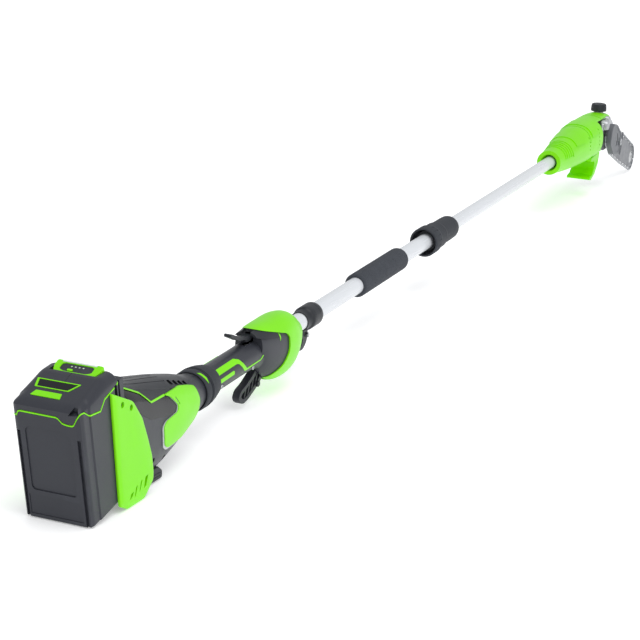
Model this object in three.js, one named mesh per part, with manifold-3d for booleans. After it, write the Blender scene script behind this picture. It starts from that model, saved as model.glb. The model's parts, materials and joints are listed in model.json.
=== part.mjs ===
// Telescoping battery pole saw, in millimetres, +Z up, +X from the battery towards the saw bar.
// The tool is laid out on its pole axis (Y = 0, Z = 0), with X = 0 some 44 mm ahead of the strap clamp,
// and is then leaned so that the battery, the dock and the bar's nose stand on the ground.
import * as THREE from 'three';
import { mergeVertices } from 'three/addons/utils/BufferGeometryUtils.js';
import Module from 'manifold-3d';

const wasm = await Module();
wasm.setup();

// ---- driving dimensions -------------------------------------------------------------------
const GAP = 0.3;                    // clearance left between pieces that touch
const ROUND = 24;                   // sides of a turned piece
const LOWER_TUBE = { r: 13.5, bore: 12.45, from: -425, to: 500 };
const UPPER_TUBE = { r: 12.2, bore: 11.2, from: 300, to: 1262 };
const BATTERY = { x: -802, z: -60, lean: 11.5, width: 93, depth: 90, seam: 139, shoulder: 153, top: 171 };
const DOCK = { inner: 47, outer: 51, plateFrom: 90.6, plateTo: 99 };
const BODY = { from: -752, to: -447 };
const WALL = 3;
const COLLAR = { from: -462, to: -412, r: 29 };
const GRIP_R = 20.4;
const TRIGGER = { x: -238, z: -25, width: 11 };
const LEVER = { x: -236, z: 22, width: 11 };
const CLAMP = { from: -96, to: -44, r: 18.3 };
const FOAM = { from: 130, to: 322, r: 19.4 };
const SLEEVE = { from: 447, to: 581, mouth: 25.7, body: 21.4 };
const HEAD = { from: 1213, to: 1626 };
const SPINDLE = { x: 1592, z: -6 };
const BAR = { slope: 21, reach: 245, half: 27, tip: 24.5, y: -28, thick: 1.6, chain: 7 };
const CAP = { x: 1596, z: 50.5, r: 17.5, height: 15 };
const PINION_TEETH = 10;
const GEAR_TEETH = 20;
const GROUND_TILT = 1.52;           // lean of the pole above the ground, degrees

// ---- finishes: colour, roughness, metalness ------------------------------------------------
const FINISH = {
  green: [0x6fe000, 0.42, 0],
  dark: [0x3a3f47, 0.55, 0],
  black: [0x1b1d21, 0.6, 0],
  rubber: [0x24272c, 0.9, 0],
  foam: [0x2a2e35, 0.95, 0],
  white: [0xeef0f4, 0.3, 0.1],
  steel: [0x8d9096, 0.35, 0.9],
  silver: [0xc4c8cc, 0.3, 0.9],
  grey: [0x7d8087, 0.5, 0.4],
  board: [0x14532d, 0.6, 0],
  tank: [0xe8e6dc, 0.4, 0],
};

// ---- making solids -------------------------------------------------------------------------
function solidOf(geometry) {
  const bare = geometry.clone();
  bare.deleteAttribute('normal');
  bare.deleteAttribute('uv');
  const merged = mergeVertices(bare, 1e-4);
  const points = Float32Array.from(merged.attributes.position.array);
  const faces = [];
  let volume = 0;
  const corner = (i) => new THREE.Vector3().fromArray(points, 3 * i);
  for (let i = 0; i < merged.index.count; i += 3) {
    const [a, b, c] = [0, 1, 2].map((k) => merged.index.getX(i + k));
    if (a === b || b === c || c === a) continue;
    faces.push([a, b, c]);
    volume += corner(a).dot(corner(b).cross(corner(c)));
  }
  const order = volume < 0 ? faces.map(([a, b, c]) => [a, c, b]) : faces;
  const triVerts = Uint32Array.from(order.flat());
  return new wasm.Manifold(new wasm.Mesh({ numProp: 3, vertProperties: points, triVerts }));
}

function geometryOf(solid) {
  const mesh = solid.getMesh();
  const geometry = new THREE.BufferGeometry();
  geometry.setAttribute('position', new THREE.BufferAttribute(Float32Array.from(mesh.vertProperties), 3));
  geometry.setIndex(new THREE.BufferAttribute(Uint32Array.from(mesh.triVerts), 1));
  geometry.computeVertexNormals();
  return geometry;
}

// A body drawn through rings of points, closed by a fan at each end.
function loft(rings) {
  const count = rings[0].length;
  const points = rings.flat(2);
  const index = [];
  for (let r = 0; r + 1 < rings.length; r += 1) {
    for (let i = 0; i < count; i += 1) {
      const j = (i + 1) % count;
      const [a, b] = [r * count + i, r * count + j];
      index.push(a, b, a + count, b, b + count, a + count);
    }
  }
  for (const [r, flip] of [[0, true], [rings.length - 1, false]]) {
    const middle = points.length / 3;
    for (let k = 0; k < 3; k += 1) {
      points.push(rings[r].reduce((sum, p) => sum + p[k], 0) / count);
    }
    for (let i = 0; i < count; i += 1) {
      const j = (i + 1) % count;
      const [a, b] = [r * count + i, r * count + j];
      index.push(...(flip ? [b, a, middle] : [a, b, middle]));
    }
  }
  const geometry = new THREE.BufferGeometry();
  geometry.setAttribute('position', new THREE.BufferAttribute(Float32Array.from(points), 3));
  geometry.setIndex(index);
  return solidOf(geometry);
}

// A ring across the pole: a squared ellipse, power 2 for a plain ellipse and more for flatter sides.
function section(x, cz, halfWidth, halfHeight, power = 2, count = 24) {
  const bend = (v) => Math.sign(v) * Math.abs(v) ** (2 / power);
  return Array.from({ length: count }, (_, i) => {
    const t = (2 * Math.PI * i) / count;
    return [x, halfWidth * bend(Math.cos(t)), cz + halfHeight * bend(Math.sin(t))];
  });
}

const through = (rows, grow = 0) => loft(
  rows.map(([x, cz, hw, hh, power]) => section(x, cz, hw + grow, hh + grow, power)),
);

const thinned = (rows) => rows.map(([x, cz, hw, hh, power]) => [x, cz, hw - WALL, hh - WALL, power]);

// Turned about the pole axis from a list of [radius, x]; the list is closed when it is a ring.
function turned(profile, sides = ROUND) {
  const points = profile.map(([r, x]) => new THREE.Vector2(r, x));
  const geometry = new THREE.LatheGeometry(points, sides);
  return solidOf(geometry.rotateZ(-Math.PI / 2));
}

const pipe = (from, to, outer, inner, sides) => turned(
  [[inner, from], [outer, from], [outer, to], [inner, to], [inner, from]], sides,
);
const rod = (from, to, r, sides) => turned([[0, from], [r, from], [r, to], [0, to]], sides);
const upright = (solid) => solid.rotate([0, -90, 0]);       // from along X to along Z
const across = (solid) => solid.rotate([0, 0, 90]);         // from along X to along Y

// An outline in the X-Z plane with its corners rounded, carried from Y = low to Y = high.
function slab(outline, low, high, corner = 0, edge = 0) {
  const shape = new THREE.Shape();
  const count = outline.length;
  outline.forEach(([x, z], i) => {
    const here = new THREE.Vector2(x, z);
    const towards = (k) => {
      const leg = new THREE.Vector2(...outline[k % count]).sub(here);
      return here.clone().add(leg.setLength(Math.min(corner, leg.length() * 0.45) || 1e-3));
    };
    const start = towards(i + count - 1);
    const end = towards(i + 1);
    if (corner === 0) {
      shape[i ? 'lineTo' : 'moveTo'](x, z);
      return;
    }
    shape[i ? 'lineTo' : 'moveTo'](start.x, start.y);
    shape.quadraticCurveTo(x, z, end.x, end.y);
  });
  const geometry = new THREE.ExtrudeGeometry(shape, {
    depth: high - low - 2 * edge, bevelEnabled: edge > 0, bevelThickness: edge, bevelSize: edge,
    bevelOffset: -edge, bevelSegments: 1, curveSegments: 2,
  });
  return solidOf(geometry.rotateX(Math.PI / 2).translate(0, high - edge, 0));
}

function block(x0, x1, y0, y1, z0, z1) {
  const geometry = new THREE.BoxGeometry(x1 - x0, y1 - y0, z1 - z0);
  return solidOf(geometry.translate((x0 + x1) / 2, (y0 + y1) / 2, (z0 + z1) / 2));
}

const mirrored = (solid) => solid.mirror([0, 1, 0]);
const leftHalf = (solid) => solid.intersect(block(-3000, 3000, GAP / 2, 200, -300, 300));
const rightHalf = (solid) => solid.intersect(block(-3000, 3000, -200, -GAP / 2, -300, 300));

const tool = new THREE.Group();

function piece(name, solid, finish, parent = tool) {
  const [color, roughness, metalness] = FINISH[finish];
  const mesh = new THREE.Mesh(
    geometryOf(solid),
    new THREE.MeshStandardMaterial({ color, roughness, metalness }),
  );
  mesh.name = name;
  parent.add(mesh);
  return mesh;
}

// ---- battery pack: leans back on its rear bottom edge --------------------------------------
// In its own frame X is depth from the rear face, Z is height from the bottom.
const batteryFrame = new THREE.Group();
batteryFrame.position.set(BATTERY.x, 0, BATTERY.z);
batteryFrame.rotation.y = -THREE.MathUtils.degToRad(BATTERY.lean);
tool.add(batteryFrame);
const fromBattery = (solid) => solid.rotate([0, -BATTERY.lean, 0]).translate([BATTERY.x, 0, BATTERY.z]);

const RAIL = { from: 79, to: 84, depth: 3.2 };
const SLOT = { half: 17, depth: 13, height: 66 };

function batteryBox(z0, z1, inset = 0) {
  const half = BATTERY.width / 2 - inset;
  const depth = BATTERY.depth - inset;
  const step = 1.5;
  const corners = [
    [inset, -half + 7], [inset + 6, -half + step], [19, -half + step], [20.5, -half],
    [depth - 3, -half], [depth, -half + 3], [depth, half - 3], [depth - 3, half],
    [20.5, half], [19, half - step], [inset + 6, half - step], [inset, half - 7],
  ];
  return loft([z0, z1].map((z) => corners.map(([x, y]) => [x, y, z])));
}

function batteryCase() {
  const cavity = batteryBox(4, BATTERY.seam + 5, 3.6);
  const rails = [1, -1].map((side) => {
    const y = side * (BATTERY.width / 2 - RAIL.depth / 2 + 1);
    return block(RAIL.from - 0.6, RAIL.to + 0.6, y - RAIL.depth / 2 - 1, y + RAIL.depth / 2 + 1, -5, 200);
  });
  const grooves = [1, -1].map((side) => block(-2, 3.6, side * 39.7 - 2.1, side * 39.7 + 2.1, -5, 119));
  const terminals = block(
    BATTERY.depth - SLOT.depth, BATTERY.depth + 5, -SLOT.half, SLOT.half, -5, SLOT.height,
  );
  const railBacks = [1, -1].map((side) => block(
    RAIL.from - 4, BATTERY.depth - 0.5, side * 39.5 - 4, side * 39.5 + 4, 0.5, BATTERY.seam - 0.5,
  ));
  const slotWall = block(
    BATTERY.depth - SLOT.depth - 4, BATTERY.depth - 0.5, -SLOT.half - 4, SLOT.half + 4, 0.5, SLOT.height + 4,
  );
  const grooveBacks = [1, -1].map((side) => block(
    1.4, 7, side * 40 - 4.4, side * 40 + 4.4, 0.5, BATTERY.seam - 0.5,
  ));
  let body = batteryBox(0, BATTERY.seam - GAP).subtract(cavity);
  for (const extra of [...railBacks, slotWall, ...grooveBacks]) body = body.add(extra);
  for (const cut of [...rails, ...grooves, terminals]) body = body.subtract(cut);
  return body.subtract(block(-20, 0, -60, 60, -10, 200));
}

const LATCH = { from: 66, to: 88.5, half: 31, floor: 156 };

function batteryCap() {
  const side = [
    [0, BATTERY.seam], [0, BATTERY.shoulder], [9, BATTERY.top - 3], [18, BATTERY.top], [58, BATTERY.top],
    [66, BATTERY.top - 6], [BATTERY.depth, BATTERY.top - 8], [BATTERY.depth, BATTERY.seam],
  ];
  const wide = BATTERY.width / 2;
  const flank = [
    [-wide, BATTERY.seam], [-wide, BATTERY.shoulder], [-wide + 4, BATTERY.shoulder + 6],
    [-wide + 10, BATTERY.top - 3], [-wide + 13, BATTERY.top + 2],
    [wide - 13, BATTERY.top + 2], [wide - 10, BATTERY.top - 3],
    [wide - 4, BATTERY.shoulder + 6], [wide, BATTERY.shoulder], [wide, BATTERY.seam],
  ];
  const crossBody = slab(flank, -200, 200).rotate([0, 0, 90]);
  let cap = slab(side, -wide, wide, 2).intersect(crossBody).intersect(batteryBox(BATTERY.seam, 300));
  cap = cap.subtract(block(6, 84, -36, 36, BATTERY.seam - 1, BATTERY.seam + 9));
  const reach = LATCH.half + 0.5;
  const well = block(LATCH.from - 0.5, BATTERY.depth + 5, -reach, reach, LATCH.floor, 200);
  const rails = [1, -1].map((s) => block(
    RAIL.from - 0.6, RAIL.to + 0.6, s * wide - RAIL.depth, s * wide + 5, 130, BATTERY.shoulder - 3,
  ));
  for (const cut of [well, ...rails]) cap = cap.subtract(cut);
  return cap;
}

function batteryLatch() {
  const outline = [
    [LATCH.from, LATCH.floor + 2.2], [LATCH.from, BATTERY.top - 7], [LATCH.from + 4, BATTERY.top - 5],
    [LATCH.to - 3, BATTERY.top - 4.5], [LATCH.to, BATTERY.top - 8], [LATCH.to, LATCH.floor + 3.6],
  ];
  const body = slab(outline, -LATCH.half, LATCH.half, 1);
  return body.subtract(block(LATCH.from + 3.5, LATCH.to - 4.5, -26, 26, LATCH.floor + 5, 200));
}

function gaugePanel() {
  const panel = block(
    LATCH.from + 3.8, LATCH.to - 4.8, -25.7, 25.7, LATCH.floor + 5.3, BATTERY.top - 6.2,
  );
  return panel.subtract(block(LATCH.from + 5, LATCH.from + 10.6, -3.6, 3.6, LATCH.floor + 6.5, 200));
}

const gaugeButton = () => block(
  LATCH.from + 5.3, LATCH.from + 10.3, -3.3, 3.3, LATCH.floor + 7.9, BATTERY.top - 5.2,
);

function cellBlock() {
  const r = 9;
  let cells = null;
  for (const x of [20, 38.8, 57.6]) {
    for (const y of [-28.2, -9.4, 9.4, 28.2]) {
      const cell = upright(rod(8, 126, r, 8)).translate([x, y, 0]);
      cells = cells ? cells.add(cell) : cell;
    }
  }
  return cells.add(block(20, 57, -28, 28, 60, 70));
}

piece('battery_case', batteryCase(), 'dark', batteryFrame);
piece('battery_cap', batteryCap(), 'dark', batteryFrame);
piece('battery_latch', batteryLatch(), 'green', batteryFrame);
piece('gauge_panel', gaugePanel(), 'black', batteryFrame);
piece('gauge_button', gaugeButton(), 'green', batteryFrame);
piece('cell_block', cellBlock(), 'steel', batteryFrame);

// ---- dock: two green cheeks, a dark back plate and its terminals ---------------------------
const groundAt = (x) => BATTERY.z - Math.tan(THREE.MathUtils.degToRad(GROUND_TILT)) * (x - BATTERY.x);

function dockCheek() {
  const foot = groundAt(-715);
  const outline = [
    [-766, 96], [-712, 73], [-672, 14], [-655, -34], [-655, -47], [-676, groundAt(-676)],
    [-722, groundAt(-722)], [-742, foot + 10],
  ];
  let cheek = slab(outline, -DOCK.outer, -DOCK.inner, 4, 1);
  const rail = fromBattery(block(RAIL.from, RAIL.to, -DOCK.inner - 0.5, -DOCK.inner + RAIL.depth, 12, 132));
  cheek = cheek.add(rail);
  const vents = [0, 1, 2, 3].map((i) => {
    const x = -722 + 13 * i;
    return slab([[x, -52], [x + 5, -52], [x + 8, -34 + 2 * i], [x + 3, -34 + 2 * i]], -60, -40, 1);
  });
  const holes = [[-741, 76], [-719, 67]].map(([x, z]) => across(rod(-60, -46, 4, 20)).translate([x, 0, z]));
  for (const cut of [...vents, ...holes]) cheek = cheek.subtract(cut);
  return cheek;
}

function dockPlate() {
  const { plateFrom, plateTo } = DOCK;
  let plate = block(plateFrom, plateTo, -DOCK.inner + GAP, DOCK.inner - GAP, 8, 152);
  plate = plate.subtract(block(plateFrom - 5, plateTo + 5, -12.3, 12.3, 10, 50));
  return plate;
}

function terminalBlock() {
  let housing = block(81, 104, -12, 12, 11, 46);
  for (const y of [-8, -2.7, 2.7, 8]) {
    housing = housing.subtract(block(79, 90, y - 1, y + 1, 15, 50));
  }
  return housing;
}

piece('dock_cheek_right', dockCheek(), 'green');
piece('dock_cheek_left', mirrored(dockCheek()), 'green');
piece('dock_plate', dockPlate(), 'dark', batteryFrame);
piece('dock_terminals', terminalBlock(), 'black', batteryFrame);

// ---- rear body: two dark half shells, a ribbed lid and green side plates -------------------
const BODY_ROWS = [
  [BODY.from, 20, 45.5, 74, 3.4], [-700, 13, 45, 72, 3.2], [-660, 7, 43.5, 68, 2.9], [-610, 2, 41, 62, 2.6],
  [-560, 1, 38.5, 51, 2.4], [-515, 0.5, 33.5, 39, 2.2], [-486, 0, 28.5, 30, 2.1],
  [-465, 0, 25.6, 25.6, 2], [BODY.to, 0, 25.6, 25.6, 2],
];
const bodyLimit = fromBattery(block(-80, DOCK.plateTo + GAP, -60, 60, -40, 260))
  .add(fromBattery(block(90, 104 + GAP, -12.4, 12.4, 8, 50)));
const groundLine = [-900, -400].map((x) => [x, groundAt(x) + 1.5]);
const groundCut = slab([...groundLine, [-400, -200], [-900, -200]], -90, 90);
const LID_LINE = [
  [-800, 125], [-746, 93], [-699, 80], [-660, 62], [-640, 42], [-597, 38], [-520, 33], [-455, 24], [-440, 23],
];
const lidPrism = (drop) => slab(
  [...LID_LINE.map(([x, z]) => [x, z - drop]), [-440, 300], [-800, 300]], -90, 90,
);

function bodyShell() {
  const hollow = through(
    [[BODY.from - 5, 20, 42.5, 71, 3.4], ...thinned(BODY_ROWS.slice(1, -1)),
      [BODY.to + 5, 0, 21.5, 21.5, 2]],
  );
  return through(BODY_ROWS).subtract(hollow).subtract(bodyLimit).subtract(groundCut)
    .subtract(lidPrism(GAP)).subtract(rod(LOWER_TUBE.from - 1, BODY.to + 5, LOWER_TUBE.r + GAP));
}

function bodyLid() {
  const inner = through(BODY_ROWS, -WALL);
  let lid = through(BODY_ROWS, 0.9).subtract(inner).intersect(lidPrism(0)).subtract(bodyLimit);
  lid = lid.subtract(block(-464, -400, -60, 60, 0, 90));
  for (const side of [1, -1]) {
    for (let i = 0; i < 4; i += 1) {
      const x = -566 + 15 * i;
      const vent = slab([[x, 44], [x + 9, 43], [x + 10, 37], [x + 1, 38]], 14, 60);
      lid = lid.subtract(side > 0 ? vent : mirrored(vent));
    }
  }
  return lid;
}

function sidePlate() {
  const outline = [
    [-603, 34], [-545, 30], [-513, 18], [-508, 4], [-518, -12], [-556, -30], [-596, -32], [-612, -20],
    [-615, 0], [-606, 8], [-577, 11], [-577, 16], [-596, 28],
  ];
  const skin = through(BODY_ROWS, 2).subtract(through(BODY_ROWS, GAP));
  return skin.intersect(slab(outline, -60, -8, 5));
}

function rearFoot() {
  const outline = [
    [-652, -44], [-616, -46], [-606, -54], [-606, groundAt(-606) + 1.5], [-652, groundAt(-652) + 1.5],
  ];
  const pads = slab(outline, -36, 36, 2, 1);
  return pads.subtract(through(BODY_ROWS, GAP));
}

const shell = bodyShell();
piece('body_shell_left', leftHalf(shell), 'dark');
piece('body_shell_right', rightHalf(shell), 'dark');
piece('body_lid', bodyLid(), 'black');
piece('side_plate_right', sidePlate(), 'green');
piece('side_plate_left', mirrored(sidePlate()), 'green');
piece('rear_foot', rearFoot(), 'dark');

function heatSink() {
  let sink = block(-662, -602, -16, 16, -24, -20);
  for (let i = 0; i < 5; i += 1) {
    sink = sink.add(block(-662, -602, -16 + 7.5 * i, -14 + 7.5 * i, -22, -8));
  }
  return sink;
}

piece('controller_board', block(-668, -560, -26, 26, -28, -25.5), 'board');
piece('heat_sink', heatSink(), 'silver');

// ---- collar, grip shells, fairing ----------------------------------------------------------
function collarRing() {
  const { from, to, r } = COLLAR;
  return turned([
    [26.1, from], [r - 1.5, from], [r, from + 3], [r, from + 22], [r - 3, to - 8], [r - 5.5, to],
    [GRIP_R + GAP, to], [GRIP_R + GAP, from + 17], [26.1, from + 17], [26.1, from],
  ]);
}
piece('collar_ring', collarRing(), 'rubber');

const pin = (at, half) => across(rod(-half, half, 2, 12)).translate([at.x, 0, at.z]);
const pinHole = (at, half) => across(rod(-half, half, 2.3, 12)).translate([at.x, 0, at.z]);

const DOME_ROWS = [
  [-286, 22, 20, 16, 2], [-262, 6, 26, 34, 2.2], [-225, -6, 30, 46, 2.3], [-190, -9, 31, 48.5, 2.3],
  [-162, -10, 29, 45, 2.2], [-142, -10, 24.5, 36, 2.1], [-128, -9, 19.5, 26, 2], [-121, -7, 16.5, 20, 2],
];
const GRIP_ROWS = [
  [-444, 0, GRIP_R, GRIP_R, 2], [-300, 0, GRIP_R, GRIP_R, 2], [-270, -1, 21, 22.5, 2], [-240, -5, 23, 30, 2.1],
  [-200, -8, 24.5, 38, 2.2], [-162, -9, 23.5, 38, 2.2], [-142, -9, 19.5, 30, 2.1], [-134, -7, 17, 22, 2],
];
// The dark panel at each side is bounded by the green band above, ahead and below it.
const PANEL = [
  [-330, 27], [-262, 27], [-205, 22], [-193, 12], [-190, -10], [-200, -26], [-238, -40], [-262, -75], [-330, -75],
];
const TRIGGER_SLOT = block(-312, -222, -TRIGGER.width / 2 - 0.8, TRIGGER.width / 2 + 0.8, -90, -12);
const LEVER_SLOT = block(-300, -224, -LEVER.width / 2 - 0.8, LEVER.width / 2 + 0.8, 8, 32.5);

function fairing() {
  const outer = through(DOME_ROWS);
  const inner = through(DOME_ROWS, -2.2).translate([-2.4, 0, 0]);
  return outer.subtract(inner).subtract(slab(PANEL, -90, 90, 6))
    .subtract(rod(-200, 0, LOWER_TUBE.r + GAP)).subtract(TRIGGER_SLOT)
    .subtract(LEVER_SLOT).subtract(block(-300, -262, -60, 60, -90, 33));
}

function gripShell() {
  const core = through(GRIP_ROWS).add(through(DOME_ROWS, -2.2 - GAP).translate([-2.7, 0, 0])
    .subtract(block(-400, -275, -60, 60, -90, 90)));
  const hollow = through(thinned(GRIP_ROWS))
    .intersect(block(-440, -138, -60, 60, -90, 90));
  return core.subtract(hollow).subtract(TRIGGER_SLOT).subtract(LEVER_SLOT)
    .subtract(rod(-460, 0, LOWER_TUBE.r + GAP)).subtract(pinHole(TRIGGER, 15.6)).subtract(pinHole(LEVER, 13.6))
    .subtract(across(rod(6.9, 10.5, 4.8, 16)).translate([TRIGGER.x, 0, TRIGGER.z]));
}

const grip = gripShell();
piece('grip_shell_left', leftHalf(grip), 'dark');
piece('grip_shell_right', rightHalf(grip), 'dark');
piece('fairing', fairing(), 'green');

// ---- trigger, lock-off lever, their pins, the spring and the switch ------------------------
function trigger() {
  const outline = [
    [-230, -17], [-228, -36], [-250, -50], [-284, -64], [-300, -66], [-316, -54], [-310, -45], [-290, -40],
    [-268, -31], [-252, -19],
  ];
  const half = TRIGGER.width / 2;
  let blade = slab(outline, -half, half, 4, 1).subtract(pinHole(TRIGGER, 30));
  for (let i = 0; i < 3; i += 1) {
    const pocket = slab(
      [[-258, -38], [-248, -43], [-256, -49], [-266, -44]].map(([x, z]) => [x - 13 * i, z - 4.2 * i]), -20, 20, 1,
    );
    blade = blade.subtract(pocket.intersect(block(-400, 0, 1.2, 30, -90, 0)))
      .subtract(pocket.intersect(block(-400, 0, -30, -1.2, -90, 0)));
  }
  return blade;
}

function lockOffLever() {
  const outline = [
    [-231, 17], [-230, 26], [-246, 28.5], [-290, 31], [-318, 37], [-345, 49], [-347, 44.5], [-320, 32.5],
    [-290, 26.5], [-252, 23], [-244, 17],
  ];
  const half = LEVER.width / 2;
  let lever = slab(outline, -half, half, 1.5, 0.6).subtract(pinHole(LEVER, 30));
  for (const x of [-338, -326]) lever = lever.subtract(block(x - 3, x + 3, -3.4, 3.4, 30, 60));
  return lever;
}

piece('trigger', trigger(), 'black');
piece('trigger_pin', pin(TRIGGER, 15), 'steel');
piece('lock_off_lever', lockOffLever(), 'black');
piece('lock_off_pin', pin(LEVER, 13), 'steel');
piece('trigger_spring', across(pipe(7.2, 10.2, 4.4, 3, 16)).translate([TRIGGER.x, 0, TRIGGER.z]), 'steel');

function switchBody() {
  return block(-222, -200, -7, 7, -34, -14).add(block(-223.4, -221, -2.5, 2.5, -30, -27));
}
piece('power_switch', switchBody(), 'black');

// ---- tubes, lead, strap clamp, foam grip, twist lock ---------------------------------------
piece('lower_tube', pipe(LOWER_TUBE.from, LOWER_TUBE.to, LOWER_TUBE.r, LOWER_TUBE.bore), 'white');
piece('upper_tube', pipe(UPPER_TUBE.from, UPPER_TUBE.to, UPPER_TUBE.r, UPPER_TUBE.bore), 'white');
piece('tube_bush', pipe(UPPER_TUBE.from - 15, UPPER_TUBE.from - GAP, 12.3, 10.2), 'black');
piece('lead_coil', pipe(-420, 268, 9.5, 5.6, 20), 'rubber');
piece('lead', rod(262, 1395, 3.5, 12), 'rubber');

function strapClamp() {
  const { from, to, r } = CLAMP;
  const bore = LOWER_TUBE.r + GAP;
  let ring = turned([
    [bore, from], [r - 3, from], [r - 3, from + 16], [r, from + 20], [r, to - 2], [r - 2, to], [bore, to],
    [bore, from],
  ]);
  const alongFrom = (points) => points.map(([x, z]) => [from + x, z]);
  const lug = slab(
    alongFrom([[4, -10], [-26, -24], [-22, -41], [8, -46], [24, -34], [26, -12]]), -4.6, 4.6, 8, 1,
  );
  const loop = slab(alongFrom([[-16, -29], [2, -23], [8, -30], [2, -38], [-14, -35.5]]), -20, 20, 3);
  ring = ring.add(lug).subtract(loop).subtract(rod(-200, 100, bore));
  return ring.subtract(across(rod(-20, 20, 2.3, 16)).translate([from + 18, 0, -24]));
}

const clamp = strapClamp();
piece('strap_clamp_left', leftHalf(clamp), 'black');
piece('strap_clamp_right', rightHalf(clamp), 'black');
const clampScrew = across(rod(-8.4, 8, 2, 16).add(rod(-8.6, -5, 3.8, 20)));
piece('clamp_screw', clampScrew.translate([CLAMP.from + 18, 0, -24]), 'steel');

function foamGrip() {
  const { from, to, r } = FOAM;
  const bore = LOWER_TUBE.r + GAP;
  return turned([
    [bore, from], [r - 3, from], [r - 0.8, from + 1.6], [r, from + 5], [r, to - 5], [r - 0.8, to - 1.6],
    [r - 3, to], [bore, to], [bore, from],
  ]);
}
piece('foam_grip', foamGrip(), 'foam');

function lockCollet() {
  const bore = LOWER_TUBE.r + GAP;
  let collet = turned([
    [bore, 462], [17.6, 462], [17.6, 530], [15.6, 560], [12.7, 560], [12.7, LOWER_TUBE.to + 1],
    [bore, LOWER_TUBE.to + 1], [bore, 462],
  ]);
  for (const angle of [0, 90]) {
    collet = collet.subtract(block(520, 600, -30, 30, -0.8, 0.8).rotate([angle, 0, 0]));
  }
  return collet;
}
piece('lock_collet', lockCollet(), 'black');

function lockSleeve() {
  const { from, to, mouth, body } = SLEEVE;
  return turned([
    [mouth - 3.2, from], [mouth - 1, from], [mouth, from + 2], [mouth, from + 26], [mouth - 1.2, from + 32],
    [body + 1.4, from + 62], [body, from + 66], [body - 0.6, to - 6], [body - 4.5, to], [12.9, to], [12.9, to - 17],
    [18.2, to - 20], [18.2, from + 22], [mouth - 3.2, from + 18], [mouth - 3.2, from],
  ]);
}
piece('lock_sleeve', lockSleeve(), 'rubber');

// ---- saw head: two green half shells ------------------------------------------------------
const HEAD_ROWS = [
  [HEAD.from, 0, 27.5, 27.5, 2], [1238, 0, 28.2, 28.2, 2], [1290, 1, 32, 33, 2.1], [1350, 3, 36.5, 38, 2.2],
  [1400, 5, 40, 41.5, 2.3], [1480, 6, 41.5, 43, 2.4], [1560, 6, 41, 42.5, 2.4], [1605, 5, 38, 40, 2.4],
  [HEAD.to, 4, 32, 34, 2.3],
];

const CASE = [[1532, 24], [1548, 30], [1625, 30], [1650, 16], [1660, -18], [1640, -36], [1575, -36], [1532, -22]];
const caseBay = slab(
  CASE.map(([x, z]) => [1596 + (x - 1596) * 1.015, -3 + (z + 3) * 1.03]), -22.8, 19.6, 8,
);

function headShell() {
  const hollow = through([
    [1262 + GAP, 0, 24, 24, 2], [1290, 1, 29, 30, 2.1], [1350, 3, 33.5, 35, 2.2], [1400, 5, 37, 38.5, 2.3],
    [1480, 6, 38.5, 40, 2.4], [1560, 6, 38, 39.5, 2.4], [1605, 5, 35, 37, 2.4], [HEAD.to - 3, 4, 29, 31, 2.3],
  ]);
  const socket = rod(HEAD.from - 5, 1264, UPPER_TUBE.r + GAP);
  const cupMouth = turned([
    [0, HEAD.from - 5], [24, HEAD.from - 5], [24, HEAD.from + 9], [12.4, HEAD.from + 16], [0, HEAD.from + 16],
  ]);
  const barBay = slab([[1493, 90], [1493, -90], [1700, -90], [1700, 90]], -60, -22.6);
  const front = slab([[1560, -22], [1575, -90], [1700, -90], [1700, 22], [1600, 22]], -60, 24);
  const neck = upright(rod(30, 70, 11.4, 24)).translate([CAP.x, 0, 0]);
  let body = through(HEAD_ROWS).subtract(hollow).subtract(socket).subtract(cupMouth)
    .subtract(barBay).subtract(front).subtract(neck).subtract(caseBay);
  for (const [x, length] of [[1532, 3], [1400, 3]]) {
    const groove = through(HEAD_ROWS, 5).subtract(through(HEAD_ROWS, -1.2))
      .intersect(block(x, x + length, -26, 40, 20, 90));
    body = body.subtract(groove);
  }
  return body;
}

const head = headShell();
piece('head_shell_left', leftHalf(head), 'green');
piece('head_shell_right', rightHalf(head), 'green');

function limbHook() {
  const outline = [
    [1470, -34], [1538, -31], [1530, -52], [1508, -72], [1478, -84], [1462, -82], [1464, -76], [1480, -74],
    [1496, -62], [1500, -50], [1490, -44], [1470, -42],
  ];
  const ribs = slab([[1478, -40], [1530, -38], [1524, -56], [1500, -75], [1486, -70]], -26, 26, 3)
    .intersect(block(1400, 1600, -26, -22.6, -90, 0).add(block(1400, 1600, 22.6, 26, -90, 0)));
  return slab(outline, -25, 25, 3, 0.8).add(ribs).subtract(through(HEAD_ROWS, GAP));
}
piece('limb_hook', limbHook(), 'green');

// ---- head internals: motor, bevel gears, gear case, tank and cap ---------------------------
const atMotor = (solid) => solid.translate([0, 0, SPINDLE.z]);
const atSpindle = (solid) => solid.translate([SPINDLE.x, 0, SPINDLE.z]);

piece('motor_can', atMotor(turned([
  [4.5, 1402], [23, 1402], [24, 1404], [24, 1496], [22, 1500], [4.5, 1500], [4.5, 1497], [20.5, 1494],
  [20.5, 1406], [4.5, 1405], [4.5, 1402],
])), 'steel');

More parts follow.
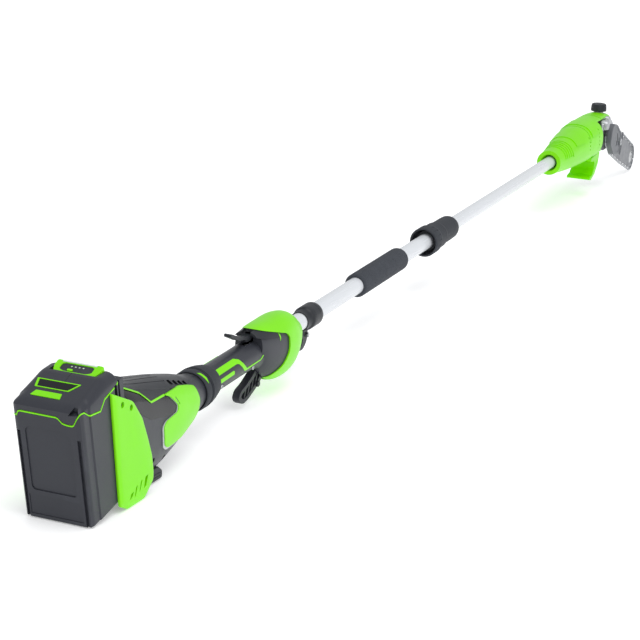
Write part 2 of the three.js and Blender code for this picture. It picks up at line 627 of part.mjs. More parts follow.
// A bevel gear blank with teeth that taper to the apex where the two shafts meet.
function bevelGear(teeth, mate, bore, back) {
  const cone = Math.atan2(teeth, mate);
  const pitch = 1.2 * Math.hypot(teeth, mate);
  const [heel, toe] = [pitch, pitch * 0.68];
  const tip = 0.035;
  const ring = (distance, radial) => Array.from({ length: teeth * 4 }, (_, i) => {
    const turn = (2 * Math.PI * (Math.floor(i / 4) + [-0.17, 0.17, 0.3, 0.7][i % 4])) / teeth;
    const lift = i % 4 < 2 ? tip : -tip * 1.3;
    const [along, out] = radial
      ? [distance * Math.cos(cone + lift), distance * Math.sin(cone + lift)]
      : [distance, bore];
    return [along, out * Math.cos(turn), out * Math.sin(turn)];
  });
  const foot = heel * Math.cos(cone) + back;
  const hub = (x, r) => ring(0, true).map((_, i) => {
    const [, y, z] = ring(1, false)[i];
    return [x, (y / bore) * r, (z / bore) * r];
  });
  const nose = toe * Math.cos(cone);
  const rings = [
    hub(nose, bore), ring(toe, true), ring(heel, true), hub(foot, heel * Math.sin(cone) * 0.72), hub(foot, bore),
  ];
  return loftRing(rings);
}

// Rings joined in a closed chain, for a body with a hole along its axis.
function loftRing(rings) {
  const count = rings[0].length;
  const index = [];
  for (let r = 0; r < rings.length; r += 1) {
    const next = (r + 1) % rings.length;
    for (let i = 0; i < count; i += 1) {
      const j = (i + 1) % count;
      const [a, b, c, d] = [r * count + i, r * count + j, next * count + i, next * count + j];
      index.push(a, b, c, b, d, c);
    }
  }
  const geometry = new THREE.BufferGeometry();
  geometry.setAttribute('position', new THREE.BufferAttribute(Float32Array.from(rings.flat(2)), 3));
  geometry.setIndex(index);
  return solidOf(geometry);
}

const pinion = bevelGear(PINION_TEETH, GEAR_TEETH, 3.3, 6).rotate([180 / PINION_TEETH, 0, 0]).rotate([0, 0, 180]);
const wheel = bevelGear(GEAR_TEETH, PINION_TEETH, 5.3, 4).rotate([0, 0, -90]);
piece('rotor', atMotor(rod(1400, 1582, 3, 20).add(rod(1412, 1488, 15, 24))), 'steel');
piece('pinion', atSpindle(pinion), 'steel');
piece('bevel_gear', atSpindle(wheel), 'steel');
piece('spindle', atSpindle(across(rod(-37, 16, 5, 24))), 'steel');

const SPROCKET = { teeth: 7, root: 12, tip: 15 };

function toothedWheel(teeth, root, tip, bore, y0, y1) {
  const outline = Array.from({ length: teeth * 4 }, (_, i) => {
    const turn = (2 * Math.PI * (Math.floor(i / 4) + [-0.12, 0.12, 0.28, 0.72][i % 4])) / teeth;
    const r = i % 4 < 2 ? tip : root;
    return [r * Math.cos(turn), r * Math.sin(turn)];
  });
  return slab(outline, y0, y1).subtract(across(rod(-60, 60, bore, 20)));
}
const driveSprocket = toothedWheel(SPROCKET.teeth, SPROCKET.root, SPROCKET.tip, 5.3, -31.5, -24.9);
piece('drive_sprocket', atSpindle(driveSprocket), 'steel');
piece('spindle_bearing', atSpindle(across(pipe(10, 15.6, 11, 5.3, 28))), 'steel');

function gearCase() {
  let body = slab(CASE, -19.5, 19, 8, 1);
  body = body.subtract(atSpindle(across(rod(-30, 9.4, 27.2, 40))));
  body = body.subtract(atSpindle(across(rod(9, 16, 11.3, 28))));
  body = body.subtract(atMotor(rod(1500, 1580, 15, 32)));
  return body;
}

function gearCaseCover() {
  return slab(CASE, -22.3, -19.8, 8).subtract(atSpindle(across(rod(-40, 0, 5.3, 24))));
}
piece('gear_case', gearCase(), 'silver');
piece('gear_case_cover', gearCaseCover(), 'silver');

function oilTank() {
  const body = slab([[1552, 32], [1608, 32], [1606, 35], [1552, 38]], -14, 18, 2, 0.8);
  const neck = upright(rod(36, CAP.z, 10.6, 24)).translate([CAP.x, 0, 0]);
  const bore = upright(rod(34, 80, 8, 24)).translate([CAP.x, 0, 0]);
  return body.add(neck).subtract(bore);
}
piece('oil_tank', oilTank(), 'tank');

function oilCap() {
  const cap = upright(turned([
    [0, CAP.z + 2.2], [CAP.r, CAP.z + 2.2], [CAP.r, CAP.z + CAP.height - 2], [CAP.r - 2.5, CAP.z + CAP.height],
    [0, CAP.z + CAP.height],
  ], 36));
  return cap.add(upright(rod(CAP.z - 6, CAP.z + 4, 7.6, 24))).translate([CAP.x, 0, 0]);
}
piece('oil_cap', oilCap(), 'black');
piece('cap_seal', upright(pipe(CAP.z + 0.3, CAP.z + 1.9, 11, 7.9, 28)).translate([CAP.x, 0, 0]), 'rubber');

// ---- guide bar, nose sprocket, chain, side cover, studs and nuts ---------------------------
// The bar is drawn along its own length from the spindle and then turned down by its slope.
const onBar = (solid) => solid.rotate([0, BAR.slope, 0]).translate([SPINDLE.x, 0, SPINDLE.z]);
const barY = [BAR.y - BAR.thick / 2, BAR.y + BAR.thick / 2];
const NOSE = { x: BAR.reach, r: 15.4, teeth: 9 };

const arc = (x, r, from, to, steps) => Array.from({ length: steps + 1 }, (_, i) => {
  const turn = from + ((to - from) * i) / steps;
  return [x + r * Math.cos(turn), r * Math.sin(turn)];
});

function barOutline() {
  return [
    [20, -14], [37, -BAR.half], [150, -BAR.half - 1], ...arc(BAR.reach, BAR.tip, -Math.PI / 2, Math.PI / 2, 12),
    [150, BAR.half + 1], [37, BAR.half], [20, 14],
  ];
}

// The chain's inner or outer edge: round the drive sprocket, along the bar and round its nose.
function chainEdge(grow) {
  return [
    ...arc(0, SPROCKET.tip + grow, 0.6 * Math.PI, 1.4 * Math.PI, 8), [34, -BAR.half - grow],
    [150, -BAR.half - grow - 1], ...arc(BAR.reach, BAR.tip + grow, -Math.PI / 2, Math.PI / 2, 12),
    [150, BAR.half + grow + 1], [34, BAR.half + grow],
  ];
}

function guideBar() {
  let bar = slab(barOutline(), ...barY);
  bar = bar.subtract(slab([[26, -4.3], [74, -4.3], [74, 4.3], [26, 4.3]], -60, 60, 4));
  bar = bar.subtract(across(rod(-60, 60, 3, 16)).translate([84, 0, -14]));
  return bar.subtract(across(rod(-60, 60, NOSE.r, 32)).translate([NOSE.x, 0, 0]));
}

function sawChain() {
  const rail = BAR.y;
  let loop = slab(chainEdge(BAR.chain), rail - 2.6, rail + 2.6)
    .subtract(slab(chainEdge(0.6), rail - 10, rail + 10));
  const straight = 14;
  for (const side of [1, -1]) {
    for (let i = 0; i < straight; i += 1) {
      const x = 26 + i * 14.8;
      const z = side * (BAR.half + BAR.chain + 1);
      const [low, high] = [z - side * 3.2, z + side * 8];
      loop = loop.subtract(slab([[x - 3.4, low], [x + 3.4, low], [x + 4.8, high], [x - 4.8, high]], -60, 60));
    }
  }
  for (let i = 0; i < 5; i += 1) {
    const notch = slab([[-2.6, 28], [2.6, 28], [4, 40], [-4, 40]], -60, 60).rotate([0, 24 + 33 * i, 0]);
    loop = loop.subtract(notch.translate([BAR.reach, 0, 0]));
  }
  return loop;
}

piece('guide_bar', onBar(guideBar()), 'steel');
piece('saw_chain', onBar(sawChain()), 'grey');
const noseSprocket = toothedWheel(NOSE.teeth, 11.4, 14.6, 3.3, barY[0] + 0.1, barY[1] - 0.1);
piece('nose_sprocket', onBar(noseSprocket.translate([NOSE.x, 0, 0])), 'steel');

const STUD_AT = 52;

function sideCover() {
  const outline = [[-34, 18], [-20, 36], [30, 40], [78, 38], [92, 24], [92, -20], [78, -38], [10, -40], [-30, -22]];
  let cover = slab(outline, -44, -32.3, 8, 1.5);
  const chainWay = [[-30, 16], [-18, 32.5], [30, 37], [100, 37], [100, -37], [10, -37], [-26, -20]];
  cover = cover.subtract(slab(chainWay, -41.5, -30, 8));
  cover = cover.subtract(across(rod(-60, 0, 3.3, 20)).translate([STUD_AT, 0, 0]));
  cover = cover.subtract(slab([[-16, 18], [14, 18], [20, 6], [14, -18], [-12, -18], [-20, 0]], -60, -30, 6));
  return cover;
}

piece('bar_stud', onBar(across(rod(-46.5, -22.6, 3, 16)).translate([STUD_AT, 0, 0])), 'steel');
piece('side_cover', onBar(sideCover()), 'grey');
const barNut = across(rod(-47.3, -44.3, 7.5, 6).subtract(rod(-50, -40, 3.3, 20)));
piece('bar_nut', onBar(barNut.translate([STUD_AT, 0, 0])), 'silver');

// ---- lean the tool onto the ground and centre its footprint --------------------------------
tool.rotation.y = -THREE.MathUtils.degToRad(GROUND_TILT);
tool.updateMatrixWorld(true);
const bounds = new THREE.Box3().setFromObject(tool, true);
tool.position.set(-(bounds.min.x + bounds.max.x) / 2, -(bounds.min.y + bounds.max.y) / 2, -bounds.min.z);

const part = new THREE.Group();
part.add(tool);
export default part;
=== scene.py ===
import json
import math

import bmesh
import bpy
from mathutils import Matrix, Vector


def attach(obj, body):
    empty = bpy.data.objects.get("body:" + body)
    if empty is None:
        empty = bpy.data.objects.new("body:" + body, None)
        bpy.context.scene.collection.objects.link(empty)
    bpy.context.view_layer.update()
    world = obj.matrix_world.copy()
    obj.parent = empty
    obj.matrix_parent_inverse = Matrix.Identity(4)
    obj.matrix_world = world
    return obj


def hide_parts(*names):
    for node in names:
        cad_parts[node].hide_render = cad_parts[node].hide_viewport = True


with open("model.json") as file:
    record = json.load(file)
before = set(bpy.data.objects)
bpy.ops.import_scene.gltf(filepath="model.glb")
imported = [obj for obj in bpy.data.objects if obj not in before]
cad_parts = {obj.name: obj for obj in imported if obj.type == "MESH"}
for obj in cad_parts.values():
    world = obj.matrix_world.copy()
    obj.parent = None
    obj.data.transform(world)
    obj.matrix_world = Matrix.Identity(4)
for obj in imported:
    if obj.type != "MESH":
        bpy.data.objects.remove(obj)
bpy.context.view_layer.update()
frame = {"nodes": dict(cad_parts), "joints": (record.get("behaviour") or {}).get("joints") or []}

# ---- where the saw lies ----------------------------------------------------------------------
# The saw is drawn in millimetres along its pole, with X = 0 just ahead of the strap clamp, +Y to the
# user's left and +Z up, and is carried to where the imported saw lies, its pole leaning up a little.
JOINTS = {joint["name"]: joint for joint in frame["joints"]}
SLEEVE_MIDDLE = 500
LEFT = Vector((0, 1, 0))


def placing(along, up, origin):
    turn = Matrix((along, LEFT, up)).transposed().to_4x4()
    return Matrix.Translation(origin) @ turn @ Matrix.Scale(0.001, 4)


pole = Vector(JOINTS["pole_extend"]["axis"]).normalized()
sleeve_place = Vector(JOINTS["lock_sleeve_turn"]["pos_m"])
ON_POLE = placing(pole, pole.cross(LEFT), sleeve_place - pole * SLEEVE_MIDDLE / 1000)

# ---- camera ----------------------------------------------------------------------------------
# It stands behind the battery, to the right and above, and looks along the pole with a long lens.
EYE = Vector((-2656.9, -1075.7, 843.6))
LOOKING = Vector((0.8885, 0.3616, -0.2899)).normalized()
TO_THE_RIGHT = Vector((0.385, -0.919, 0.040))
FOCAL_LENGTH = 109.7

view = bpy.data.cameras.new("camera")
view.lens = FOCAL_LENGTH
view.clip_start = 0.05
camera = bpy.data.objects.new("camera", view)
bpy.context.scene.collection.objects.link(camera)
upward = TO_THE_RIGHT.cross(LOOKING).normalized()
to_the_right = LOOKING.cross(upward)
facing = ON_POLE.to_3x3().normalized() @ Matrix((to_the_right, upward, -LOOKING)).transposed()
camera.matrix_world = Matrix.Translation(ON_POLE @ EYE) @ facing.to_4x4()
bpy.context.scene.camera = camera

# ---- studio ----------------------------------------------------------------------------------
# A plain pale floor, a pale surround, a broad soft sun from above and a softbox at the right.
bpy.context.scene.view_settings.view_transform = "Standard"
surround = bpy.data.worlds.new("surround")
surround.use_nodes = True
surround.node_tree.nodes["Background"].inputs["Color"].default_value = (0.97, 0.985, 1, 1)
surround.node_tree.nodes["Background"].inputs["Strength"].default_value = 0.7
bpy.context.scene.world = surround

floor_mesh = bpy.data.meshes.new("floor")
FLOOR_SIZE = 40
floor_corners = [(x * FLOOR_SIZE, y * FLOOR_SIZE, -0.0005) for x, y in ((-1, -1), (1, -1), (1, 1), (-1, 1))]
floor_mesh.from_pydata(floor_corners, [], [(0, 1, 2, 3)])
floor = bpy.data.objects.new("floor", floor_mesh)
bpy.context.scene.collection.objects.link(floor)
floor_finish = bpy.data.materials.new("pale_floor")
floor_finish.use_nodes = True
floor_shader = floor_finish.node_tree.nodes["Principled BSDF"]
floor_shader.inputs["Base Color"].default_value = (0.93, 0.93, 0.93, 1)
floor_shader.inputs["Roughness"].default_value = 0.45
floor_shader.inputs["Emission Color"].default_value = (1, 1, 1, 1)
floor_shader.inputs["Emission Strength"].default_value = 0.3
floor_mesh.materials.append(floor_finish)

overhead = bpy.data.lights.new("overhead", "SUN")
overhead.energy = 1.15
overhead.angle = math.radians(40)
softbox = bpy.data.lights.new("right_side", "AREA")
softbox.energy = 16
softbox.size = 1.2
for lamp, place in ((overhead, (-0.5, -0.9, 3.0)), (softbox, (-1.6, -2.6, 1.2))):
    holder = bpy.data.objects.new(lamp.name, lamp)
    holder.location = place
    holder.rotation_euler = (-Vector(place)).to_track_quat("-Z", "Y").to_euler()
    bpy.context.scene.collection.objects.link(holder)

# ---- battery case ----------------------------------------------------------------------------
# A hollow moulding in textured slate plastic, chamfered at its rear corners, with a deep groove
# beside each chamfer, a sunk panel on its rear face and a groove each side for the dock's rails.
LATCH_HINGE = (66.5, 158.5)
battery_up = Vector(JOINTS["battery_slide"]["axis"]).normalized()
battery_depth = LEFT.cross(battery_up)
ON_BATTERY = placing(
    battery_depth, battery_up, Vector(JOINTS["battery_latch_press"]["pos_m"])
    - (battery_depth * LATCH_HINGE[0] + battery_up * LATCH_HINGE[1]) / 1000,
)
HALF_WIDTH = 46.5
DEPTH = 90
WALL = 5


class Wire:
    """A socket in a material's tree; sums, products and differences of wires add Math nodes."""

    def __init__(self, tree, socket=None):
        self.tree = tree
        self.socket = socket

    def node(self, kind, settings=None, inlets=None, outlet=0):
        made = self.tree.nodes.new(kind)
        for key, value in (settings or {}).items():
            if key != "stops":
                setattr(made, key, value)
                continue
            for stop, (at, shade) in zip(made.color_ramp.elements, value):
                stop.position = at
                stop.color = (shade, shade, shade, 1)
        for key, value in (inlets or {}).items():
            if isinstance(value, Wire):
                self.tree.links.new(value.socket, made.inputs[key])
            else:
                made.inputs[key].default_value = value
        return Wire(self.tree, made.outputs[outlet])

    def math(self, operation, one, two):
        return self.node("ShaderNodeMath", {"operation": operation}, {0: one, 1: two})

    def __add__(self, other):
        return self.math("ADD", self, other)

    def __mul__(self, other):
        return self.math("MULTIPLY", self, other)

    def __sub__(self, other):
        return self.math("SUBTRACT", self, other)

    def __rsub__(self, other):
        return self.math("SUBTRACT", other, self)

    __radd__ = __add__
    __rmul__ = __mul__

    def cloud(self, place, scale, detail=3, roughness=0.5):
        sizes = {"Vector": place, "Scale": scale, "Detail": detail, "Roughness": roughness}
        return self.node("ShaderNodeTexNoise", inlets=sizes)

    def step(self, low, high):
        return self.node("ShaderNodeValToRGB", {"stops": ((low, 0), (high, 1))}, {0: self})

    def between(self, one, two):
        return self.node("ShaderNodeMix", {"data_type": "RGBA"}, {0: self, 6: one, 7: two}, 2)

    def raised(self, height, strength):
        sizes = {"Height": self, "Distance": height, "Strength": strength}
        return self.node("ShaderNodeBump", inlets=sizes)


def shaded(colour, factor):
    return (*(min(1, channel * factor) for channel in colour), 1)


def new_finish(name):
    """A material, the first wire of its tree and its place wire."""
    material = bpy.data.materials.new(name)
    material.use_nodes = True
    start = Wire(material.node_tree)
    return material, start, start.node("ShaderNodeTexCoord", outlet="Object")


def dress(material, changing, fixed=()):
    shader = material.node_tree.nodes["Principled BSDF"]
    for key, wire in changing.items():
        material.node_tree.links.new(wire.socket, shader.inputs[key])
    for key, value in dict(fixed).items():
        shader.inputs[key].default_value = value
    return material


def moulded(name, colour, gloss, spark, pale=1.6, coat=0.0):
    """Moulded plastic: slow drifts of tone, a fine spark texture, dull handled patches, pale worn edges."""
    material, start, place = new_finish(name)
    drift = start.cloud(place, 9, 4)
    speckle = start.cloud(place, 900, 2)
    rubbed = start.cloud(place, 34, 5, 0.65).step(0.5, 0.72)
    edge = start.node("ShaderNodeNewGeometry", outlet="Pointiness").step(0.53, 0.6)
    tone = (drift * 0.7 + speckle * 0.3).between(shaded(colour, 0.86), shaded(colour, 1.12))
    worn = (edge * rubbed * 0.5 + rubbed * 0.05).between(tone, shaded(colour, pale))
    dullness = gloss + (drift - 0.5) * 0.12 + rubbed * 0.08
    grain = start.cloud(place, 1500, 3).raised(0.0002, spark)
    return dress(
        material, {"Base Color": worn, "Roughness": dullness, "Normal": grain},
        {"Coat Weight": coat, "Coat Roughness": 0.12, "Specular IOR Level": 0.24},
    )


SLATE = moulded("slate_plastic", (0.034, 0.036, 0.045), 0.34, 0.35)


def drawn(points, faces):
    """A closed body on the drawing board, in millimetres."""
    mesh = bpy.data.meshes.new("drawn")
    mesh.from_pydata(points, [], faces)
    body = bpy.data.objects.new("drawn", mesh)
    bpy.context.scene.collection.objects.link(body)
    work = bmesh.new()
    work.from_mesh(mesh)
    if work.calc_volume(signed=True) < 0:
        bmesh.ops.reverse_faces(work, faces=work.faces)
    work.to_mesh(mesh)
    work.free()
    return body


def lofted(rings, ring_shaped=False):
    """A skin through rings of points, closed by a face at each end, or joined end to end."""
    count = len(rings[0])
    faces = []
    for row in range(len(rings) if ring_shaped else len(rings) - 1):
        below, above = row * count, (row + 1) % len(rings) * count
        for i in range(count):
            j = (i + 1) % count
            faces.append((below + i, below + j, above + j, above + i))
    if not ring_shaped:
        faces.append(tuple(reversed(range(count))))
        faces.append(tuple(range((len(rings) - 1) * count, len(rings) * count)))
    return drawn([point for ring in rings for point in ring], faces)


def eased(outline, radius, bends=4):
    """The outline with every corner rounded."""
    corners = [Vector(point) for point in outline]
    points = []
    for i, corner in enumerate(corners):
        before = corners[i - 1] - corner
        after = corners[(i + 1) % len(corners)] - corner
        reach = min(radius, before.length * 0.45, after.length * 0.45)
        start, end = corner + before.normalized() * reach, corner + after.normalized() * reach
        for k in range(bends + 1):
            t = k / bends
            points.append(tuple(start * (1 - t) ** 2 + corner * 2 * t * (1 - t) + end * t * t))
    return points


def slab(outline, low, high, corner=0, edge=0):
    """An outline in X and Z with rounded corners and chamfered rims, carried from Y = low to Y = high."""
    flat = eased(outline, corner) if corner else [tuple(point) for point in outline]
    middle = sum((Vector(point) for point in flat), Vector((0, 0))) / len(flat)
    span = max((Vector(point) - middle).length for point in flat)
    inner = [tuple(middle + (Vector(point) - middle) * (1 - edge / span)) for point in flat]
    rows = [(flat, low), (flat, high)]
    if edge:
        rows = [(inner, low), (flat, low + edge), (flat, high - edge), (inner, high)]
    return lofted([[(x, y, z) for x, z in ring] for ring, y in rows])


def plank(x0, x1, y0, y1, z0, z1):
    return slab([(x0, z0), (x1, z0), (x1, z1), (x0, z1)], y0, y1)


def upright(outline, low, high, corner=0):
    """An outline in X and Y carried up from Z = low to Z = high."""
    flat = eased(outline, corner) if corner else outline
    return lofted([[(x, y, z) for x, y in flat] for z in (low, high)])


def worked(base, tools, how="DIFFERENCE"):
    """The base with tools cut from it, joined to it or kept where they meet it; the tools are used up."""
    for tool in tools:
        step = base.modifiers.new("step", "BOOLEAN")
        step.operation = how
        step.object = tool
        step.solver = "MANIFOLD"
    graph = bpy.context.evaluated_depsgraph_get()
    base.data = bpy.data.meshes.new_from_object(base.evaluated_get(graph))
    base.modifiers.clear()
    for tool in tools:
        bpy.data.objects.remove(tool)
    return base


def copied(body):
    twin = bpy.data.objects.new("copy", body.data.copy())
    bpy.context.scene.collection.objects.link(twin)
    return twin


def settled(body, name, finish, place=ON_POLE, crease=32):
    """The finished piece, shaded smooth up to its creases and carried from the drawing board to its place."""
    body.name = name
    body.data.name = name
    body.data.transform(place)
    body.data.materials.clear()
    body.data.materials.append(finish)
    body.data.polygons.foreach_set("use_smooth", [True] * len(body.data.polygons))
    body.data.set_sharp_from_angle(angle=math.radians(crease))
    body.data.update()
    return body


def measured(points, at):
    """The height at a place along a line of (place, height) points."""
    for (x0, z0), (x1, z1) in zip(points, points[1:]):
        if at <= x1:
            return z0 + (z1 - z0) * max(0, at - x0) / (x1 - x0)
    return points[-1][1]


REAR_SEAM = [
    (-44, 153), (-40, 147), (-35, 137.7), (-33, 136.5), (-26, 136.5), (-20, 138), (-14, 144.4), (37, 144.8),
    (40, 138.5), (HALF_WIDTH, 138),
]
RIGHT_SEAM = [(3, 153), (9, 152), (19, 142.5), (43, 135.5), (54, 145), (68, 146.5), (84, 148), (90, 152)]
LEFT_SEAM = [(3, 138), (30, 138), (41, 137), (50, 148.5), (66, 149), (90, 152)]


def seam_height(x, y):
    if x < 3:
        return measured(REAR_SEAM, y)
    return measured(RIGHT_SEAM if y < 0 else LEFT_SEAM, x)


def battery_outline(spacing=2.5):
    side = [
        (0, 40), (1.6, 43.5), (6, 45.1), (18.5, 45.1), (20.5, HALF_WIDTH), (87, HALF_WIDTH), (DEPTH, 43.5)
    ]
    corners = [Vector((x, -y)) for x, y in side] + [Vector((x, y)) for x, y in reversed(side)]
    points = []
    for one, two in zip(corners, corners[1:] + corners[:1]):
        steps = max(1, round((two - one).length / spacing))
        points += [one.lerp(two, k / steps) for k in range(steps)]
    return points


OUTSIDE = battery_outline()


def inside_by(inset):
    scale = Vector((1 - 2 * inset / DEPTH, 1 - inset / HALF_WIDTH))
    middle = Vector((DEPTH / 2, 0))
    return [middle + (point - middle) * scale for point in OUTSIDE]


def battery_ring(inset, height):
    """One ring of the battery's wall; its height is one value, or follows the seam when a function."""
    ring = []
    for (x, y), (seam_x, seam_y) in zip(inside_by(inset), OUTSIDE):
        ring.append((x, y, height(seam_height(seam_x, seam_y)) if callable(height) else height))
    return ring




def rail_ways():
    """The grooves, one each side, that run down the dock's rails."""
    return [plank(78.4, 84.6, *sorted((side * (HALF_WIDTH - 3.2), side * 50)), -5, 151) for side in (-1, 1)]


body = lofted([
    battery_ring(1.6, 0), battery_ring(0, 1.6), battery_ring(0, lambda z: z - 1),
    battery_ring(0.8, lambda z: z - 0.2),
    battery_ring(WALL, lambda z: z - 0.2), battery_ring(WALL, 4),
])
slot_wall = plank(72, 88.5, -21, 21, 2, 70)
terminal_slot = plank(77, 95, -17, 17, -5, 66)
GROOVE_HALF_WIDTH = 2.1
corner_grooves = [
    upright([(-3, y - GROOVE_HALF_WIDTH), (3.6, y - GROOVE_HALF_WIDTH), (3.6, y + GROOVE_HALF_WIDTH),
             (-3, y + GROOVE_HALF_WIDTH)], -4, 119)
    for y in (-39.7, 39.7)
]
panel_line = [(-27, 40), (28, 40), (31, 44), (31, 122), (26, 127), (-22, 127), (-29, 118), (-29, 44)]
rear_panel = slab(panel_line, 0, 2.4, 4)
rear_panel.data.transform(Matrix.Rotation(math.radians(90), 4, "Z"))
rear_panel.data.transform(Matrix.Translation((1.4, 0, 0)))
lower_panel = plank(-1, 0.8, -34, 36, 6, 33)
body = worked(body, [slot_wall], "UNION")
body = worked(body, [terminal_slot, *rail_ways(), *corner_grooves, rear_panel, lower_panel])
battery_case = settled(body, "battery_case_moulding", SLATE, ON_BATTERY)
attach(battery_case, "battery")
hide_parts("battery_case")

# ---- seam of the battery ---------------------------------------------------------------------
# A thin lime green gasket that follows the stepped joint between the case and its cap.
LIME = moulded("lime_plastic", (0.2, 0.72, 0.0), 0.34, 0.1, pale=1.1)
body = lofted([
    battery_ring(-0.25, lambda z: z - 0.3), battery_ring(-0.25, lambda z: z + 1.5),
    battery_ring(1.6, lambda z: z + 1.5), battery_ring(1.6, lambda z: z - 0.3),
], ring_shaped=True)
body = worked(body, rail_ways())
battery_seam = settled(body, "battery_seam", LIME, ON_BATTERY)
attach(battery_seam, "battery")

# ---- battery cap -----------------------------------------------------------------------------
# The slate cap rounds over its shoulders to a top that climbs forward to the latch's well. A
# green-edged blank plate and a green bar are let into that slope, and a three-sided pocket is behind.
SHOULDER = 153.5
CAP_TOP = [(0, 156.5), (11, 159.5), (60, 167), (66, 167), (DEPTH, 163)]
CAP_SLOPE = math.atan2(7.5, 49)


def cap_ring(height=None, side=0, rear=0, wall=0, share=0, spread=1):
    """A ring of the cap at a height, along the seam, or at a share of the rise to its sloping top."""
    ring = []
    for (x, y), (seam_x, seam_y) in zip(inside_by(wall), OUTSIDE):
        x = rear + x * (DEPTH - rear * 1.3) / DEPTH
        y *= spread * (HALF_WIDTH - side) / HALF_WIDTH
        z = SHOULDER + share * (measured(CAP_TOP, x) - SHOULDER)
        if height is not None:
            z = height(seam_height(seam_x, seam_y)) if callable(height) else height
        ring.append((x, y, z))
    return ring


body = lofted([
    cap_ring(150, 5, 5, wall=1), cap_ring(lambda z: z + 1.6, wall=WALL),
    cap_ring(lambda z: z + 1.6, wall=0.8),
    cap_ring(lambda z: z + 2.4), cap_ring(SHOULDER), cap_ring(None, 0.8, 0.8, share=0.25),
    cap_ring(None, 2.4, 2.2, share=0.5), cap_ring(None, 5, 4.2, share=0.75),
    cap_ring(None, 8, 6.5, share=0.92),
    cap_ring(None, 11, 9, share=1), cap_ring(None, 11, 12, share=1, spread=0.93),
    cap_ring(None, 11, 14, share=1, spread=0.5), cap_ring(None, 11, 15, share=1, spread=0.01),
])
latch_well = plank(65.5, 96, -31.5, 31.5, 156, 200)


def on_slope(body, x=0, y=0, lift=0.0):
    """Carries a piece drawn about the origin onto the cap's sloping top."""
    body.data.transform(Matrix.Rotation(-CAP_SLOPE, 4, "Y"))
    body.data.transform(Matrix.Translation((x, y, measured(CAP_TOP, x) + lift)))
    return body


def plate(grow, low, high):
    outline = [(-8, 27), (8, 31), (8, -27), (-8, -18)]
    sides = [(x * (1 + grow / 8), y * (1 + grow / 14)) for x, y in outline]
    return on_slope(upright(sides, low, high, 1), 38, 4)


pocket = slab([(-43, 152.5), (-29, 150), (-36, 161)], -7, 3.2, 1.5)
pocket.data.transform(Matrix.Rotation(math.radians(90), 4, "Z"))
pocket.data.transform(Matrix.Translation((1, 0, 0)))
body = worked(body, [latch_well, plate(0, -1, 9), pocket])
battery_cap = settled(body, "battery_cap_moulding", SLATE, ON_BATTERY)
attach(battery_cap, "battery")
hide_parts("battery_cap")

GLOSS_BLACK = moulded("gloss_black", (0.004, 0.004, 0.006), 0.14, 0.03, pale=2.0)
body = worked(plate(-0.1, -0.9, 0.5), [plate(-1.5, -4, 4)])
plate_edge = settled(body, "cap_plate_edge", LIME, ON_BATTERY)
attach(plate_edge, "battery")
blank_plate = settled(plate(-1.6, -0.9, 0.1), "cap_blank_plate", GLOSS_BLACK, ON_BATTERY)
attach(blank_plate, "battery")
body = on_slope(upright([(-4.8, 21), (4.8, 18), (4.8, -16), (-4.8, -18)], -0.6, 0.7, 0.8), 19.5, 7)
top_bar = settled(body, "cap_green_bar", LIME, ON_BATTERY)
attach(top_bar, "battery")

# ---- battery latch and charge gauge ----------------------------------------------------------
# The latch is a lime green frame that tips forward in its well. It carries the dark gauge panel,
# with four small lamps in a row, and the oblong green gauge button.
LATCH_RISE = math.radians(11)


def on_latch(body):
    body.data.transform(Matrix.Rotation(-LATCH_RISE, 4, "Y"))
    body.data.transform(Matrix.Translation((66.2, 0, 160.4)))
    return body


latch_line = [(0, -23), (3, -28), (12, -30.8), (22, -30.8), (22, 30.8), (12, 30.8), (3, 28), (0, 23)]
body = lofted([
    [(11 + (x - 11) * k, y * k, z) for x, y in eased(latch_line, 2)]
    for k, z in ((1, -2.4), (1, 4), (0.97, 4.8))
])
panel_line = [
    (3.4, -15), (6.6, -21.5), (15.5, -21.5), (17.5, -18), (17.5, 18), (15.5, 21.5), (6.6, 21.5), (3.4, 15)
]
window = upright(panel_line, 0.8, 9, 2)
finger_edge = plank(18.6, 24, -23, 23, 2.2, 9)
body = on_latch(worked(body, [window, finger_edge]))
latch = settled(body, "latch_frame", LIME, ON_BATTERY)
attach(latch, "battery_latch")
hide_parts("battery_latch")

PALE_EDGE = moulded("pale_clear_edge", (0.72, 0.78, 0.74), 0.18, 0.05, pale=1.1, coat=0.5)
body = on_latch(slab([(18.8, 2.3), (21.8, 2.3), (21.5, 5), (18.8, 5.4)], -22.8, 22.8, 0.3))
finger_strip = settled(body, "latch_finger_strip", PALE_EDGE, ON_BATTERY)
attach(finger_strip, "battery_latch")

body = upright([(10.5 + (x - 10.5) * 0.97, y * 0.985) for x, y in panel_line], 0.9, 3.9, 2)
button_way = upright([(4.5, -4), (8.5, -4), (8.5, 4), (4.5, 4)], 0.2, 9, 1.5)
BUTTON_OFFSET = 7
button_way.data.transform(Matrix.Translation((0, BUTTON_OFFSET, 0)))
body = on_latch(worked(body, [button_way]))
gauge = settled(body, "gauge_panel_face", SLATE, ON_BATTERY)
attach(gauge, "battery_latch")
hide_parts("gauge_panel")

body = upright([(4.9, -3.6), (8.1, -3.6), (8.1, 3.6), (4.9, 3.6)], 2.3, 5, 1.4)
body.data.transform(Matrix.Translation((0, BUTTON_OFFSET, 0)))
button = settled(on_latch(body), "gauge_push_button", LIME, ON_BATTERY)
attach(button, "gauge_button")
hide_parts("gauge_button")


